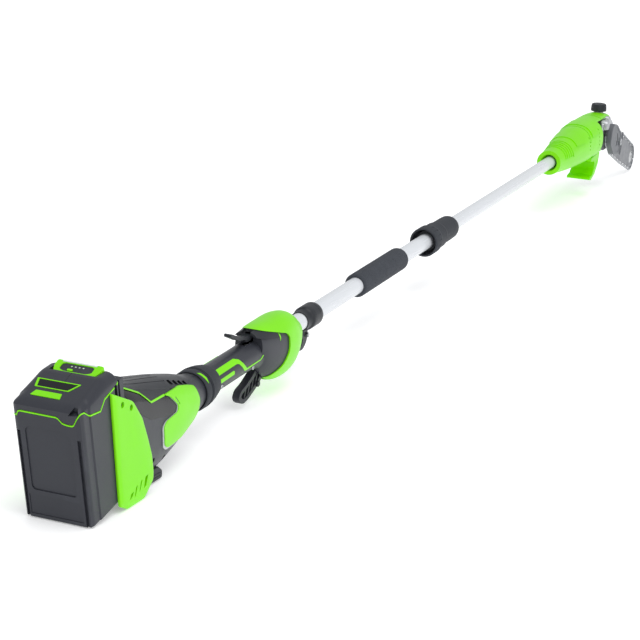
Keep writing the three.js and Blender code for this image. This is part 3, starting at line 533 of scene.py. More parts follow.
class Tree:
    """A geometry node tree that grows one finished mesh out of a few named sizes."""

    def __init__(self, name, **inputs):
        self.tree = bpy.data.node_groups.new(name, "GeometryNodeTree")
        self.tree.interface.new_socket("Geometry", in_out="OUTPUT", socket_type="NodeSocketGeometry")
        for label, kind in inputs.items():
            self.tree.interface.new_socket(label, in_out="INPUT", socket_type="NodeSocket" + kind)
        self.inputs = self.tree.nodes.new("NodeGroupInput")

    def node(self, kind, settings=None, inlets=None, outlet=0):
        made = self.tree.nodes.new(kind)
        for key, value in (settings or {}).items():
            setattr(made, key, value)
        for key, value in (inlets or {}).items():
            if isinstance(value, str):
                value = self.inputs.outputs[value]
            if isinstance(value, bpy.types.NodeSocket):
                self.tree.links.new(value, made.inputs[key])
            else:
                made.inputs[key].default_value = value
        return made.outputs[outlet]

    def finish(self, geometry):
        """Ends the tree: instances made real, finish set."""
        real = self.node("GeometryNodeRealizeInstances", inlets={0: geometry})
        set_finish = self.node("GeometryNodeSetMaterial", inlets={0: real, "Material": "Finish"})
        end = self.tree.nodes.new("NodeGroupOutput")
        self.tree.links.new(set_finish, end.inputs[0])

    def grow(self, **values):
        """The mesh that the tree makes from these sizes, on the drawing board; a template is used up."""
        holder = drawn([(0, 0, 0), (1, 0, 0), (0, 1, 0)], [(0, 1, 2)])
        grown = holder.modifiers.new("grown", "NODES")
        grown.node_group = self.tree
        for item in self.tree.interface.items_tree:
            if item.in_out == "INPUT":
                grown[item.identifier] = values[item.name]
        graph = bpy.context.evaluated_depsgraph_get()
        holder.data = bpy.data.meshes.new_from_object(holder.evaluated_get(graph))
        holder.modifiers.clear()
        for value in values.values():
            if isinstance(value, bpy.types.Object):
                bpy.data.objects.remove(value)
        return holder


ROW = Tree("row_of_pieces", Template="Object", Count="Int", Start="Vector", Step="Vector", Finish="Material")
line = ROW.node(
    "GeometryNodeMeshLine", {"mode": "OFFSET"}, {
        "Count": "Count", "Start Location": "Start", "Offset": "Step"
    }
)
template = ROW.node("GeometryNodeObjectInfo", inlets={0: "Template"}, outlet="Geometry")
ROW.finish(ROW.node("GeometryNodeInstanceOnPoints", inlets={"Points": line, "Instance": template}))

LAMP = moulded("gauge_lamp", (0.55, 0.62, 0.55), 0.2, 0.02, pale=1.2, coat=0.4)
lamp_head = lofted([
    [(r * math.cos(t * math.pi / 6), r * 1.3 * math.sin(t * math.pi / 6), z) for t in range(12)]
    for r, z in ((0.9, 0), (0.9, 0.5), (0.5, 0.8))
])
body = ROW.grow(Template=lamp_head, Count=4, Start=(13.4, -7.5, 3.7), Step=(0, 5.2, 0), Finish=LAMP)
lamps = settled(on_latch(body), "gauge_lamps", LAMP, ON_BATTERY)
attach(lamps, "battery_latch")

# ---- dock ------------------------------------------------------------------------------------
# Two lime green cheeks, screwed to the rear body, each carry a rail inside and four slanted vents
# behind. A dark plate between them holds the terminals.
GROUND_TILT = math.atan2(pole.z, pole.x)
BATTERY_FOOT = (-802, -60)


def ground_at(x):
    return BATTERY_FOOT[1] - math.tan(GROUND_TILT) * (x - BATTERY_FOOT[0])


def domed_slab(outline, low, high, corner, drop, reach):
    """A slab whose right-hand face is pillowed: its rim drops back in steps over its reach."""
    flat = [Vector(point) for point in eased(outline, corner)]
    middle = sum(flat, Vector((0, 0))) / len(flat)
    span = max((point - middle).length for point in flat)
    rings = [(0, high), (0, low + drop)]
    for k in range(1, 7):
        turn = k / 6 * math.pi / 2
        rings.append((reach * (1 - math.cos(turn)), low + drop * (1 - math.sin(turn))))
    rings += [(reach * 3, low - drop * 0.35), (reach * 6, low - drop * 0.5)]
    scaled = [([middle + (point - middle) * (1 - inset / span) for point in flat], y) for inset, y in rings]
    return lofted([[(x, y, z) for x, z in ring] for ring, y in scaled])


def mirrored(body):
    body.data.transform(Matrix.Scale(-1, 4, LEFT))
    body.data.flip_normals()
    return body


def cheek():
    outline = [
        (-767, 98), (-714, 73), (-690, 45), (-675, 15), (-663, -12), (-658, -34), (-658, -46),
        (-680, ground_at(-680)), (-724, ground_at(-724)), (-743, ground_at(-743) + 9),
    ]
    body = domed_slab(outline, -50.3, -47, 4, 2.4, 3)
    rail = plank(79, 84, -47.6, -43.8, 12, 132)
    rail.data.transform(ON_POLE.inverted() @ ON_BATTERY)
    body = worked(body, [rail], "UNION")
    vents = []
    for i, (base, height) in enumerate(((-51, 8), (-52, 14), (-49, 14), (-48, 15))):
        x = -722 + 12 * i
        width = 6 if i in (0, 3) else 3
        top = base + height
        vents.append(
            slab([(x, base), (x + width, base + 2), (x + width + 5, top), (x + 4, top - 1)], -60, -40, 1)
        )
    holes = [
        turned([(0, -60), (4, -60), (4, -46), (0, -46)], 24, "Y", (x, z)) for x, z in ((-743, 77), (-721, 67))
    ]
    return worked(body, vents + holes)


def turned(profile, sides=96, about="X", at=(0, 0)):
    """Turned from (radius, place) points about the pole, or about a line across it or up from it."""
    rings = []
    for i in range(sides):
        turn = 2 * math.pi * i / sides
        ring = []
        for radius, along in profile:
            u, v = radius * math.cos(turn), radius * math.sin(turn)
            u += at[0]
            v += at[1]
            spot = {"X": (along, u, v), "Y": (u, along, v), "Z": (u, v, along)}
            ring.append(spot[about])
        rings.append(ring)
    body = lofted(rings, ring_shaped=True) if profile[0][0] > 0 else capped_turning(rings)
    return body


def capped_turning(rings):
    """A turned body whose profile starts and ends on its axis."""
    points = [rings[0][0]] + [point for ring in rings for point in ring[1:-1]] + [rings[0][-1]]
    run = len(rings[0]) - 2
    last = len(points) - 1
    faces = []
    for i in range(len(rings)):
        here, there = 1 + i * run, 1 + (i + 1) % len(rings) * run
        faces.append((0, there, here))
        faces += [(here + k, there + k, there + k + 1, here + k + 1) for k in range(run - 1)]
        faces.append((here + run - 1, there + run - 1, last))
    return drawn(points, faces)


GREASED_STEEL = moulded("screw_steel", (0.42, 0.43, 0.45), 0.3, 0.05, pale=1.4)
GREASED_STEEL.node_tree.nodes["Principled BSDF"].inputs["Metallic"].default_value = 1
cheek_right = settled(cheek(), "dock_cheek_right_moulding", LIME)
cheek_left = settled(mirrored(cheek()), "dock_cheek_left_moulding", LIME)
for piece, node in ((cheek_right, "dock_cheek_right"), (cheek_left, "dock_cheek_left")):
    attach(piece, "lower_pole")
    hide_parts(node)


def screw_head(radius, height):
    """A pan head with a six-lobed socket, its axis along Y and its face towards -Y."""
    head = turned(
        [(0, 0), (radius, 0), (radius, -height * 0.55), (radius * 0.75, -height), (0, -height)], 20, "Y"
    )
    lobes = []
    for turn in (math.pi * k / 12 for k in range(24)):
        reach = radius * 0.45 * (1 + 0.16 * math.cos(6 * turn))
        lobes.append((reach * math.cos(turn), reach * math.sin(turn)))
    return worked(head, [slab(lobes, -height - 1, -height * 0.5)])


body = ROW.grow(
    Template=screw_head(3.4, 2), Count=2, Start=(-743, -47, 77), Step=(22, 0, -10), Finish=GREASED_STEEL
)
cheek_screws_right = settled(body, "dock_screws_right", GREASED_STEEL)
body = ROW.grow(
    Template=screw_head(3.4, 2), Count=2, Start=(-743, -47, 77), Step=(22, 0, -10), Finish=GREASED_STEEL
)
cheek_screws_left = settled(mirrored(body), "dock_screws_left", GREASED_STEEL)
for screws in (cheek_screws_right, cheek_screws_left):
    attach(screws, "lower_pole")

frame["nodes"]["dock_plate"].data.materials[0] = SLATE
BLACK = moulded("black_plastic", (0.022, 0.024, 0.029), 0.4, 0.3, pale=2.4)
frame["nodes"]["dock_terminals"].data.materials[0] = BLACK

# ---- rear body -------------------------------------------------------------------------------
# Two hollow slate half shells that narrow from the dock to the collar, screwed together from the
# right. They enclose the controller.
BODY_ROWS = [
    (-752, 20, 45.5, 74, 3.4), (-700, 13, 45, 72, 3.2), (-660, 7, 43.5, 68, 2.9), (-610, 2, 41, 62, 2.6),
    (-560, 1, 38.5, 51, 2.4), (-515, 0.5, 33.5, 39, 2.2), (-486, 0, 28.5, 30, 2.1), (-465, 0, 25.6, 25.6, 2),
    (-447, 0, 25.6, 25.6, 2),
]


def smoothed(rows, spacing=6):
    """Rows of sizes along the pole with more rows set between them on a smooth curve."""
    made = []
    for i in range(len(rows) - 1):
        before, one, two, after = rows[max(0, i - 1)], rows[i], rows[i + 1], rows[min(len(rows) - 1, i + 2)]
        steps = max(1, round((two[0] - one[0]) / spacing))
        for k in range(steps):
            t = k / steps
            made.append(tuple(
                b + 0.5 * t * (c - a + t * (2 * a - 5 * b + 4 * c - d + t * (3 * (b - c) + d - a)))
                for a, b, c, d in zip(before, one, two, after)
            ))
    return made + [rows[-1]]


def tapered(rows, grow=0, sides=72, spacing=6):
    """A body along the pole; each row is x, middle z, half width, half height and squareness."""
    rings = []
    for x, middle, wide, tall, square in smoothed(rows, spacing):
        ring = []
        for i in range(sides):
            turn = 2 * math.pi * (i + 0.5) / sides
            cos, sin = math.cos(turn), math.sin(turn)
            power = 2 / square
            ring.append((
                x, (wide + grow) * math.copysign(abs(cos) ** power, cos),
                middle + (tall + grow) * math.copysign(abs(sin) ** power, sin),
            ))
        rings.append(ring)
    return lofted(rings)


def dock_limit():
    """All that lies behind the dock's plate, which the rear body stops at."""
    body = worked(plank(-80, 99.3, -60, 60, -40, 260), [plank(80, 104.3, -12.4, 12.4, 8, 50)], "UNION")
    body.data.transform(ON_POLE.inverted() @ ON_BATTERY)
    return body


LID_LINE = [
    (-800, 128), (-748, 101), (-706, 86), (-668, 68), (-646, 50), (-602, 45.5), (-549, 40.5),
    (-515, 31), (-455, 24),
    (-440, 23),
]


def above_lid_line(drop):
    return slab([(x, z - drop) for x, z in LID_LINE] + [(-440, 300), (-800, 300)], -90, 90)


def tube_way(radius, start=-900, end=900):
    return turned([(0, start), (radius, start), (radius, end), (0, end)], 64)


def half(body, side):
    """The left (1) or right (-1) half of a body split down its middle, less a hair's breadth."""
    keep = plank(-3000, 3000, *sorted((side * 0.12, side * 300)), -400, 400)
    return worked(body, [keep], "INTERSECT")


inner_rows = [(x, z, wide - 3, tall - 3, square) for x, z, wide, tall, square in BODY_ROWS]
inner_rows[0] = (-757, 20, 42.5, 71, 3.4)
inner_rows[-1] = (-442, 0, 21.5, 21.5, 2)
below_ground = slab(
    [(x, ground_at(x) + z) for x, z in ((-900, 1.5), (-400, 1.5), (-400, -200), (-900, -200))], -90, 90
)
shell = worked(
    tapered(BODY_ROWS), [tapered(inner_rows), dock_limit(), below_ground, above_lid_line(0.3), tube_way(13.8)]
)
pockets = [
    turned([(0, -60), (4.2, -60), (4.2, -27), (0, -27)], 24, "Y", place) for place in (
        (-640, -30), (-600, -40)
    )
]
shell_right = worked(half(copied(shell), -1), pockets)
shell_left = half(shell, 1)
shell_right = settled(shell_right, "body_shell_right_moulding", SLATE)
shell_left = settled(shell_left, "body_shell_left_moulding", SLATE)
for piece, node in ((shell_right, "body_shell_right"), (shell_left, "body_shell_left")):
    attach(piece, "lower_pole")
    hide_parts(node)

CIRCUIT = moulded("circuit_board", (0.02, 0.14, 0.05), 0.4, 0.2, coat=0.5)
CAST = moulded("cast_alloy", (0.56, 0.57, 0.59), 0.3, 0.5, pale=1.3)
CAST.node_tree.nodes["Principled BSDF"].inputs["Metallic"].default_value = 1
frame["nodes"]["controller_board"].data.materials[0] = CIRCUIT
frame["nodes"]["heat_sink"].data.materials[0] = CAST

# ---- lid of the rear body --------------------------------------------------------------------
# A black lid with long shallow grooves and four vents each side. Its lower edge has a lime green
# trim line, and below it lie a pale and a gloss black panel.


def skin(rows, low, high, outline, side, corner=0, inner=6):
    """A patch that follows the surface of a tapered body: an outline seen from its side."""
    body = worked(tapered(rows, high), [tapered(rows, low)])
    return worked(body, [slab(outline, *sorted((side * inner, side * 95)), corner)], "INTERSECT")


lid = worked(tapered(BODY_ROWS, 0.9), [tapered(BODY_ROWS, -3)])
lid = worked(lid, [above_lid_line(0)], "INTERSECT")
lid = worked(lid, [dock_limit(), plank(-464, -400, -60, 60, 0, 90)])
grooves = worked(tapered(BODY_ROWS, 4), [tapered(BODY_ROWS, 0.2)])
groove_template = slab([(-742, 40), (-575, 30), (-575, 120), (-742, 120)], -0.7, 0.7)
groove_blades = ROW.grow(Template=groove_template, Count=7, Start=(0, -30, 0), Step=(0, 10, 0), Finish=BLACK)
lid = worked(lid, [worked(grooves, [groove_blades], "INTERSECT")])
for side in (-1, 1):
    vent = slab([(0, 0), (9, -1.5), (10, -7), (1, -5.5)], *sorted((side * 12, side * 60)), 1.2)
    lid = worked(
        lid, [ROW.grow(Template=vent, Count=4, Start=(-570, 0, 51), Step=(14, 0, -4.4), Finish=BLACK)]
    )
lid = settled(lid, "body_lid_moulding", BLACK)
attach(lid, "lower_pole")
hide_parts("body_lid")

PALE_GLOSS = moulded("pale_gloss", (0.42, 0.43, 0.45), 0.16, 0.03, pale=1.2, coat=0.5)
GLOSSY_PATCH = [
    (-709, 89), (-690, 81), (-668, 68), (-646, 49), (-602, 44.5), (-573, 22), (-590, 15), (-652, 28),
    (-680, 44),
    (-702, 68), (-714, 80),
]
PALE_PATCH = [(-757, 108), (-711, 90), (-716, 80), (-757, 92)]
TRIM = [(x, z - 0.2) for x, z in LID_LINE[1:6]] + [(x, z - 2.6) for x, z in reversed(LID_LINE[1:6])]
for side, word in ((-1, "right"), (1, "left")):
    piece = settled(
        skin(BODY_ROWS, -0.5, 0.35, GLOSSY_PATCH, side, 3), "body_gloss_panel_" + word, GLOSS_BLACK
    )
    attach(piece, "lower_pole")
    body = worked(skin(BODY_ROWS, -0.5, 0.4, PALE_PATCH, side, 1), [dock_limit()])
    piece = settled(body, "body_pale_panel_" + word, PALE_GLOSS)
    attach(piece, "lower_pole")
    body = worked(skin(BODY_ROWS, -0.5, 1.2, TRIM, side), [dock_limit()])
    piece = settled(body, "lid_trim_" + word, LIME)
    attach(piece, "lower_pole")

# ---- side plates -----------------------------------------------------------------------------
# Lime green plates snapped into each flank of the rear body, with a grey rim showing round them
# and a small slit near the top.
PLATE_LINE = [
    (-604, 44.5), (-578, 42.5), (-549, 39.5), (-518, 31), (-500, 25), (-493, 4), (-499, -13), (-508, -19),
    (-553, -27), (-602, -25), (-613, -18), (-617, 8), (-608, 13), (-574, 15), (-572, 23), (-590, 39),
]
for side, word in ((-1, "right"), (1, "left")):
    outline = [(-562 + (x + 562) * 1.05 - 1.2, 4 + (z - 4) * 1.06 - 0.6) for x, z in PLATE_LINE[5:]]
    rim = skin(BODY_ROWS, -0.5, 0.9, outline, side, 5, 12)
    rim = settled(worked(rim, [above_lid_line(-0.3)]), "side_plate_rim_" + word, PALE_GLOSS)
    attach(rim, "lower_pole")
    plate = skin(BODY_ROWS, 0.3, 2, PLATE_LINE, side, 5, 8)
    slit = slab([(-577, 34), (-574.5, 34), (-566, 22), (-568.5, 22)], *sorted((side * 10, side * 60)), 0.8)
    plate = settled(worked(plate, [slit, above_lid_line(-0.3)]), "side_plate_moulding_" + word, LIME)
    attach(plate, "lower_pole")
    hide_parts("side_plate_" + word)

# ---- rear foot -------------------------------------------------------------------------------
# A dark block under the body that keeps it off the ground, with two moulded ribs on each end.
foot_line = [
    (-652, -44), (-616, -46), (-606, -54), (-606, ground_at(-606) + 1.5), (-652, ground_at(-652) + 1.5)
]
foot = slab(foot_line, -36, 36, 3, 2)
ribs = ROW.grow(
    Template=slab([(-652, -56), (-612, -58), (-612, -60), (-652, -58)], -36.6, 36.6), Count=2,
    Start=(0, 0, 3),
    Step=(0, 0, -4), Finish=BLACK,
)
foot = worked(worked(foot, [ribs], "UNION"), [tapered(BODY_ROWS, 0.3)])
foot = settled(foot, "rear_foot_moulding", BLACK)
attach(foot, "lower_pole")
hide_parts("rear_foot")

# ---- collar ring -----------------------------------------------------------------------------
# A soft black ring moulded round the joint of body and grip, flared towards the body, with a small
# lime green crescent let in at its upper right.


def soft_rubber(name, colour, dust=0.35):
    """Matt rubber: nearly even in tone, dusty in soft patches, with a fine dull grain."""
    material, start, place = new_finish(name)
    patches = start.cloud(place, 16, 4, 0.6)
    specks = start.cloud(place, 420, 2).step(0.62, 0.72)
    dusty = patches.step(0.45, 0.85) * dust + specks * 0.04
    colour_wire = dusty.between((*colour, 1), shaded(colour, 2.4))
    grain = (start.cloud(place, 1100, 4) + start.cloud(place, 120, 3) * 0.4).raised(0.0003, 0.5)
    return dress(
        material, {"Base Color": colour_wire, "Roughness": patches * 0.12 + 0.62, "Normal": grain},
        {"Specular IOR Level": 0.35},
    )


RUBBER = soft_rubber("soft_black_rubber", (0.026, 0.029, 0.036))
collar_rows = [
    (26.1, -462), (27.2, -462.8), (28.4, -462), (29, -459.5), (29, -452), (28.3, -449), (28.6, -444),
    (28.4, -436),
    (27.2, -428), (25.4, -420), (23.9, -413.5), (23.2, -412.2), (22, -412), (20.7, -412), (20.7, -445),
    (26.1, -445),
]
collar = turned(collar_rows)
ridges = [
    turned([(28.2, x - 0.6), (29.2, x - 0.4), (29.2, x + 0.4), (28.2, x + 0.6)], 96) for x in (-447.5, -444.5)
]
collar = settled(worked(collar, ridges, "UNION"), "collar_ring_moulding", RUBBER)
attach(collar, "lower_pole")
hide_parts("collar_ring")
crescent_line = [(-460.5, 27.5), (-455.5, 26.5), (-453, 21), (-455.5, 14), (-457.5, 20), (-459, 24)]
band = worked(tapered([(-462, 0, 29, 29, 2), (-450, 0, 29, 29, 2)], 0.4), [tube_way(27.5)])
crescent = worked(band, [slab(crescent_line, -40, -4)], "INTERSECT")
crescent = settled(crescent, "collar_crescent", LIME)
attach(crescent, "lower_pole")

# ---- grip ------------------------------------------------------------------------------------
# Two slate half shells that swell forward into the core of the fairing. Lime green inlays run
# along each flank: a broad band that thins to a line round the side panel, and a short bar.
GRIP_ROWS = [
    (-444, 0, 20.4, 20.4, 2), (-400, 0, 20.2, 20.2, 2), (-350, 0, 20.2, 20.2, 2), (-300, 0, 20.4, 20.4, 2),
    (-270, -1, 21, 22.5, 2), (-240, -5, 23, 30, 2.1), (-200, -8, 24.5, 38, 2.2), (-162, -9, 23.5, 38, 2.2),
    (-142, -9, 19.5, 30, 2.1), (-134, -7, 17, 22, 2),
]
DOME_ROWS = [
    (-286, 22, 20, 16, 2), (-262, 6, 26, 34, 2.2), (-225, -6, 30, 46, 2.3), (-190, -9, 31, 48.5, 2.3),
    (-162, -10, 29, 45, 2.2), (-142, -10, 24.5, 36, 2.1), (-128, -9, 19.5, 26, 2), (-121, -7, 16.5, 20, 2),
]
TRIGGER_PIVOT = (-238, -25)
LEVER_PIVOT = (-236, 22)


def slots():
    """The ways through grip and fairing that the trigger and the lock-off lever move in."""
    return [plank(-312, -222, -6.3, 6.3, -90, -12), plank(-300, -224, -6.3, 6.3, 8, 32.5)]


def cross_hole(place, radius, reach):
    return turned([(0, -reach), (radius, -reach), (radius, reach), (0, reach)], 24, "Y", place)


dome_core = tapered(DOME_ROWS, -2.5)
dome_core.data.transform(Matrix.Translation((-2.7, 0, 0)))
core = worked(tapered(GRIP_ROWS), [worked(dome_core, [plank(-400, -275, -60, 60, -90, 90)])], "UNION")
hollow = tapered([(x, z, wide - 3, tall - 3, square) for x, z, wide, tall, square in GRIP_ROWS])
hollow = worked(hollow, [plank(-440, -138, -60, 60, -90, 90)], "INTERSECT")
core = worked(core, [
    hollow, *slots(), tube_way(13.8), cross_hole(TRIGGER_PIVOT, 2.3, 15.6),
    cross_hole(LEVER_PIVOT, 2.3, 13.6),
])
core = worked(core, [turned([(0, 6.9), (4.8, 6.9), (4.8, 10.5), (0, 10.5)], 24, "Y", TRIGGER_PIVOT)])
screw_wells = [
    turned([(0, -60), (3.8, -60), (3.8, -17), (0, -17)], 24, "Y", place) for place in (
        (-400, -8), (-300, -10)
    )
]
grip_right = worked(half(copied(core), -1), screw_wells)
grip_right = settled(grip_right, "grip_shell_right_moulding", SLATE)
grip_left = settled(half(core, 1), "grip_shell_left_moulding", SLATE)
for piece, node in ((grip_right, "grip_shell_right"), (grip_left, "grip_shell_left")):
    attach(piece, "lower_pole")
    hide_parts(node)


def ribbon(points, widths):
    """The outline of a band that follows points at the given widths."""
    spots = [Vector(point) for point in points]
    one_side, other_side = [], []
    for i, spot in enumerate(spots):
        heading = (spots[min(i + 1, len(spots) - 1)] - spots[max(i - 1, 0)]).normalized()
        offset = Vector((-heading.y, heading.x)) * widths[i] / 2
        one_side.append(tuple(spot + offset))
        other_side.append(tuple(spot - offset))
    return one_side + other_side[::-1]


BAND = [
    (-428, 13), (-352, 13.5), (-344, 11), (-329, -3), (-324, -5), (-279, -4), (-265, 4), (-262, 20),
    (-284, 33)
]
BAND_WIDTHS = [6.5, 6.5, 6.5, 6, 3, 1.8, 1.8, 2, 2.6]
for side, word in ((-1, "right"), (1, "left")):
    band = skin(GRIP_ROWS, -0.5, 0.5, ribbon(BAND, BAND_WIDTHS), side)
    band = settled(worked(band, slots()), "grip_band_" + word, LIME)
    bar = skin(GRIP_ROWS, -0.5, 0.5, ribbon([(-427, 1), (-364, 2)], [5.5, 5.5]), side, 2.4)
    bar = settled(bar, "grip_bar_" + word, LIME)
    for piece in (band, bar):
        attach(piece, "lower_pole")

# ---- fairing ---------------------------------------------------------------------------------
# A lime green dome slipped over the front of the grip and screwed through the side panels, which
# show the slate core. A dark bezel lies under its rear brow, with a small green crescent.
PANEL_LINE = [
    (-340, 60), (-262, 33), (-204, 16), (-197, 9), (-198, -12), (-212, -27), (-236, -39), (-258, -75),
    (-340, -75),
]
dome_inside = tapered(DOME_ROWS, -2.2)
dome_inside.data.transform(Matrix.Translation((-2.4, 0, 0)))
fairing = worked(tapered(DOME_ROWS, spacing=4), [
    dome_inside, slab(PANEL_LINE, -90, 90, 7), tube_way(13.8), *slots(), plank(-300, -264, -60, 60, -90, 33),
])
fairing = settled(fairing, "fairing_moulding", LIME)
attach(fairing, "lower_pole")
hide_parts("fairing")

BEZEL_LINE = [(-290, 44), (-264, 34), (-238, 26), (-229, 22), (-228, 15), (-238, 17), (-264, 22), (-290, 30)]
for side, word in ((-1, "right"), (1, "left")):
    bezel = skin(DOME_ROWS, -4.5, -1, BEZEL_LINE, side, 2.5, 7)
    bezel = settled(worked(bezel, slots()), "fairing_bezel_" + word, BLACK)
    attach(bezel, "lower_pole")
    mark_line = [(-227, 22), (-223, 19.5), (-222, 14), (-225, 10), (-224.5, 15), (-226, 19)]
    mark = settled(skin(DOME_ROWS, -3, -1.8, mark_line, side), "fairing_crescent_" + word, LIME)
    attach(mark, "lower_pole")

body = ROW.grow(
    Template=screw_head(3, 1.6), Count=2, Start=(-400, -18.2, -8), Step=(100, 0, -2), Finish=GREASED_STEEL
)
screws = settled(body, "grip_screws", GREASED_STEEL)
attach(screws, "lower_pole")

# ---- trigger ---------------------------------------------------------------------------------
# A black skeleton lever hung on a steel pin under the grip: a thin web with a thick rim and ribs,
# and a round boss across its foot. A ring spring returns it against the power switch.
def plain_metal(name, colour, gloss, brush=0.15, darkness=0.7):
    """Ground and oiled steel: bright, with fine lines, faint stains and slightly darker oiled patches."""
    material, start, place = new_finish(name)
    lines = start.node("ShaderNodeMapping", inlets={"Vector": place, "Scale": (40, 900, 900)})
    grind = start.cloud(lines, 1.4, 3)
    oil = start.cloud(place, 22, 5, 0.6).step(0.42, 0.7)
    tone = (oil * 0.6 + grind * 0.4).between(shaded(colour, 1.1), shaded(colour, darkness))
    sheen = gloss + grind * 0.14 + oil * 0.1
    grain = grind.raised(0.0001, brush)
    return dress(material, {"Base Color": tone, "Roughness": sheen, "Normal": grain}, {"Metallic": 1})


STEEL = plain_metal("ground_steel", (0.56, 0.57, 0.58), 0.24)
trigger_line = [
    (-230, -17), (-227, -34), (-247, -51), (-284, -64), (-300, -66.5), (-311, -61), (-316, -54), (-310, -45),
    (-290, -40), (-268, -31), (-252, -19),
]
rim = slab(trigger_line, -5.5, 5.5, 5, 0.8)
window_line = [
    (-240, -27), (-240, -36), (-252, -44.5), (-284, -57), (-299, -60), (-308, -54), (-304, -50), (-286, -45),
    (-262, -36), (-250, -27),
]
pockets = [slab(window_line, 1, 20, 3), slab(window_line, -20, -1, 3)]
trigger = worked(rim, pockets + [cross_hole(TRIGGER_PIVOT, 2.3, 30)])
rib = slab([(-254, -31), (-251.5, -32), (-259, -50), (-261.5, -49)], -5, 5)
ribs = ROW.grow(Template=rib, Count=4, Start=(0, 0, 0), Step=(-12.5, 0, -4.4), Finish=BLACK)
ribs = worked(ribs, [plank(-400, -314, -20, 20, -90, 0)])
boss = slab([(-231, -19), (-231, -31), (-245, -31), (-245, -19)], -5.5, 5.5, 5)
boss = worked(boss, [cross_hole(TRIGGER_PIVOT, 2.3, 30)])
foot_boss = turned([(0, -8), (3.6, -8), (4.6, -7), (4.6, 7), (3.6, 8), (0, 8)], 32, "Y", (-253, -49.5))
trigger = worked(trigger, [ribs, boss, foot_boss], "UNION")
trigger = settled(trigger, "trigger_moulding", BLACK)
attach(trigger, "trigger")
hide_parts("trigger")
for node in ("trigger_pin", "lock_off_pin", "trigger_spring", "cell_block", "motor_can", "rotor", "pinion",
             "bevel_gear", "spindle", "spindle_bearing"):
    frame["nodes"][node].data.materials[0] = STEEL
frame["nodes"]["power_switch"].data.materials[0] = BLACK

# ---- lock-off lever --------------------------------------------------------------------------
# A thin black lever over the grip, with two slots near its free end and a wedge beneath it, on a
# pin under the fairing's brow. It has to be pressed before the trigger moves.
lever_line = [
    (-231, 17), (-230, 26), (-246, 28.5), (-290, 31), (-318, 37), (-344, 48.5), (-347.5, 48), (-347, 44.5),
    (-320, 32.5), (-290, 26.5), (-252, 23), (-244, 17),
]
lever = slab(lever_line, -5.5, 5.5, 1.6, 0.7)
wedge = slab([(-298, 27.5), (-272, 26), (-277, 22.4), (-292, 22.8)], -4.6, 4.6, 1, 0.4)
lever = worked(lever, [wedge], "UNION")
slot_template = plank(-341, -335, -3.4, 3.4, 30, 60)
lever_slots = ROW.grow(Template=slot_template, Count=2, Start=(0, 0, 0), Step=(12, 0, 0), Finish=BLACK)
lever = worked(lever, [lever_slots, cross_hole(LEVER_PIVOT, 2.3, 30)])
lever = settled(lever, "lock_off_lever_moulding", BLACK)
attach(lever, "lock_off_lever")
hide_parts("lock_off_lever")

# ---- strap clamp -----------------------------------------------------------------------------
# Two black half rings, wide in front and narrower behind, drawn together on the lower tube by one
# screw. Their lug holds the slotted loop for a shoulder strap's hook.
ring = turned([
    (13.8, -96), (14.8, -96), (15.3, -95.4), (15.3, -81), (16.2, -79.5), (17.6, -78), (18.3, -76.5),
    (18.3, -46.5),
    (17.8, -45), (16.4, -44), (13.8, -44),
])
lug_line = [(-92, -10), (-122, -24), (-121, -36), (-115, -42), (-88, -46), (-72, -34), (-70, -12)]
loop_line = [(-113, -28.5), (-94, -23), (-88, -30), (-94, -38), (-109, -36)]
lug = worked(slab(lug_line, -4.6, 4.6, 9, 1.4), [slab(loop_line, -20, 20, 4)])
clamp = worked(ring, [lug], "UNION")
clamp = worked(clamp, [tube_way(13.8), cross_hole((-78, -24), 2.3, 20)])
for x in (-70, -54):
    clamp = worked(clamp, [turned([(17.5, x), (19, x - 0.6), (19, x + 0.6)])])
clamp_right = settled(half(copied(clamp), -1), "strap_clamp_right_moulding", BLACK)
clamp_left = settled(half(clamp, 1), "strap_clamp_left_moulding", BLACK)
for piece, node in ((clamp_right, "strap_clamp_right"), (clamp_left, "strap_clamp_left")):
    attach(piece, "lower_pole")
    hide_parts(node)
frame["nodes"]["clamp_screw"].data.materials[0] = GREASED_STEEL

# ---- tubes -----------------------------------------------------------------------------------
# Two aluminium tubes in white powder coat. The upper slides in the lower on a bush, and the lead
# to the motor runs inside them: coiled in the lower tube, straight in the upper.


def powder_coat(name, colour):
    """Powder coat: soft orange peel, slight yellowing in places, fine dusty rub marks along the tube."""
    material, start, place = new_finish(name)
    peel = start.cloud(place, 520, 2)
    ageing = start.cloud(place, 3, 3)
    along_tube = start.node("ShaderNodeMapping", inlets={"Vector": place, "Scale": (2, 60, 60)})
    rubs = start.cloud(along_tube, 6, 5, 0.7).step(0.56, 0.74)
    tone = ageing.between(shaded(colour, 1), (colour[0] * 0.97, colour[1] * 0.965, colour[2] * 0.93, 1))
    marked = (rubs * 0.18).between(tone, shaded(colour, 0.62))
    sheen = peel * 0.08 + rubs * 0.2 + 0.2
    return dress(
        material, {"Base Color": marked, "Roughness": sheen, "Normal": peel.raised(0.0003, 0.25)},
        {"Specular IOR Level": 0.5},
    )


WHITE = powder_coat("white_powder_coat", (0.66, 0.68, 0.72))


def tube(start, end, outside, bore):
    return turned([
        (bore, start), (outside - 0.3, start), (outside, start + 0.3),
        (outside, end - 0.3), (outside - 0.3, end), (bore, end),
    ])


lower_tube = settled(tube(-425, 500, 13.5, 12.45), "lower_tube_painted", WHITE)
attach(lower_tube, "lower_pole")
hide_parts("lower_tube")
upper_tube = settled(tube(300, 1262, 12.2, 11.2), "upper_tube_painted", WHITE)
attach(upper_tube, "upper_pole")
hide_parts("upper_tube")
for node in ("tube_bush", "lock_collet"):
    frame["nodes"][node].data.materials[0] = BLACK
for node in ("lead", "lead_coil", "cap_seal"):
    frame["nodes"][node].data.materials[0] = RUBBER

# ---- foam grip -------------------------------------------------------------------------------
# A closed-cell foam sleeve pushed onto the lower tube, its ends rounded over, its skin pitted.


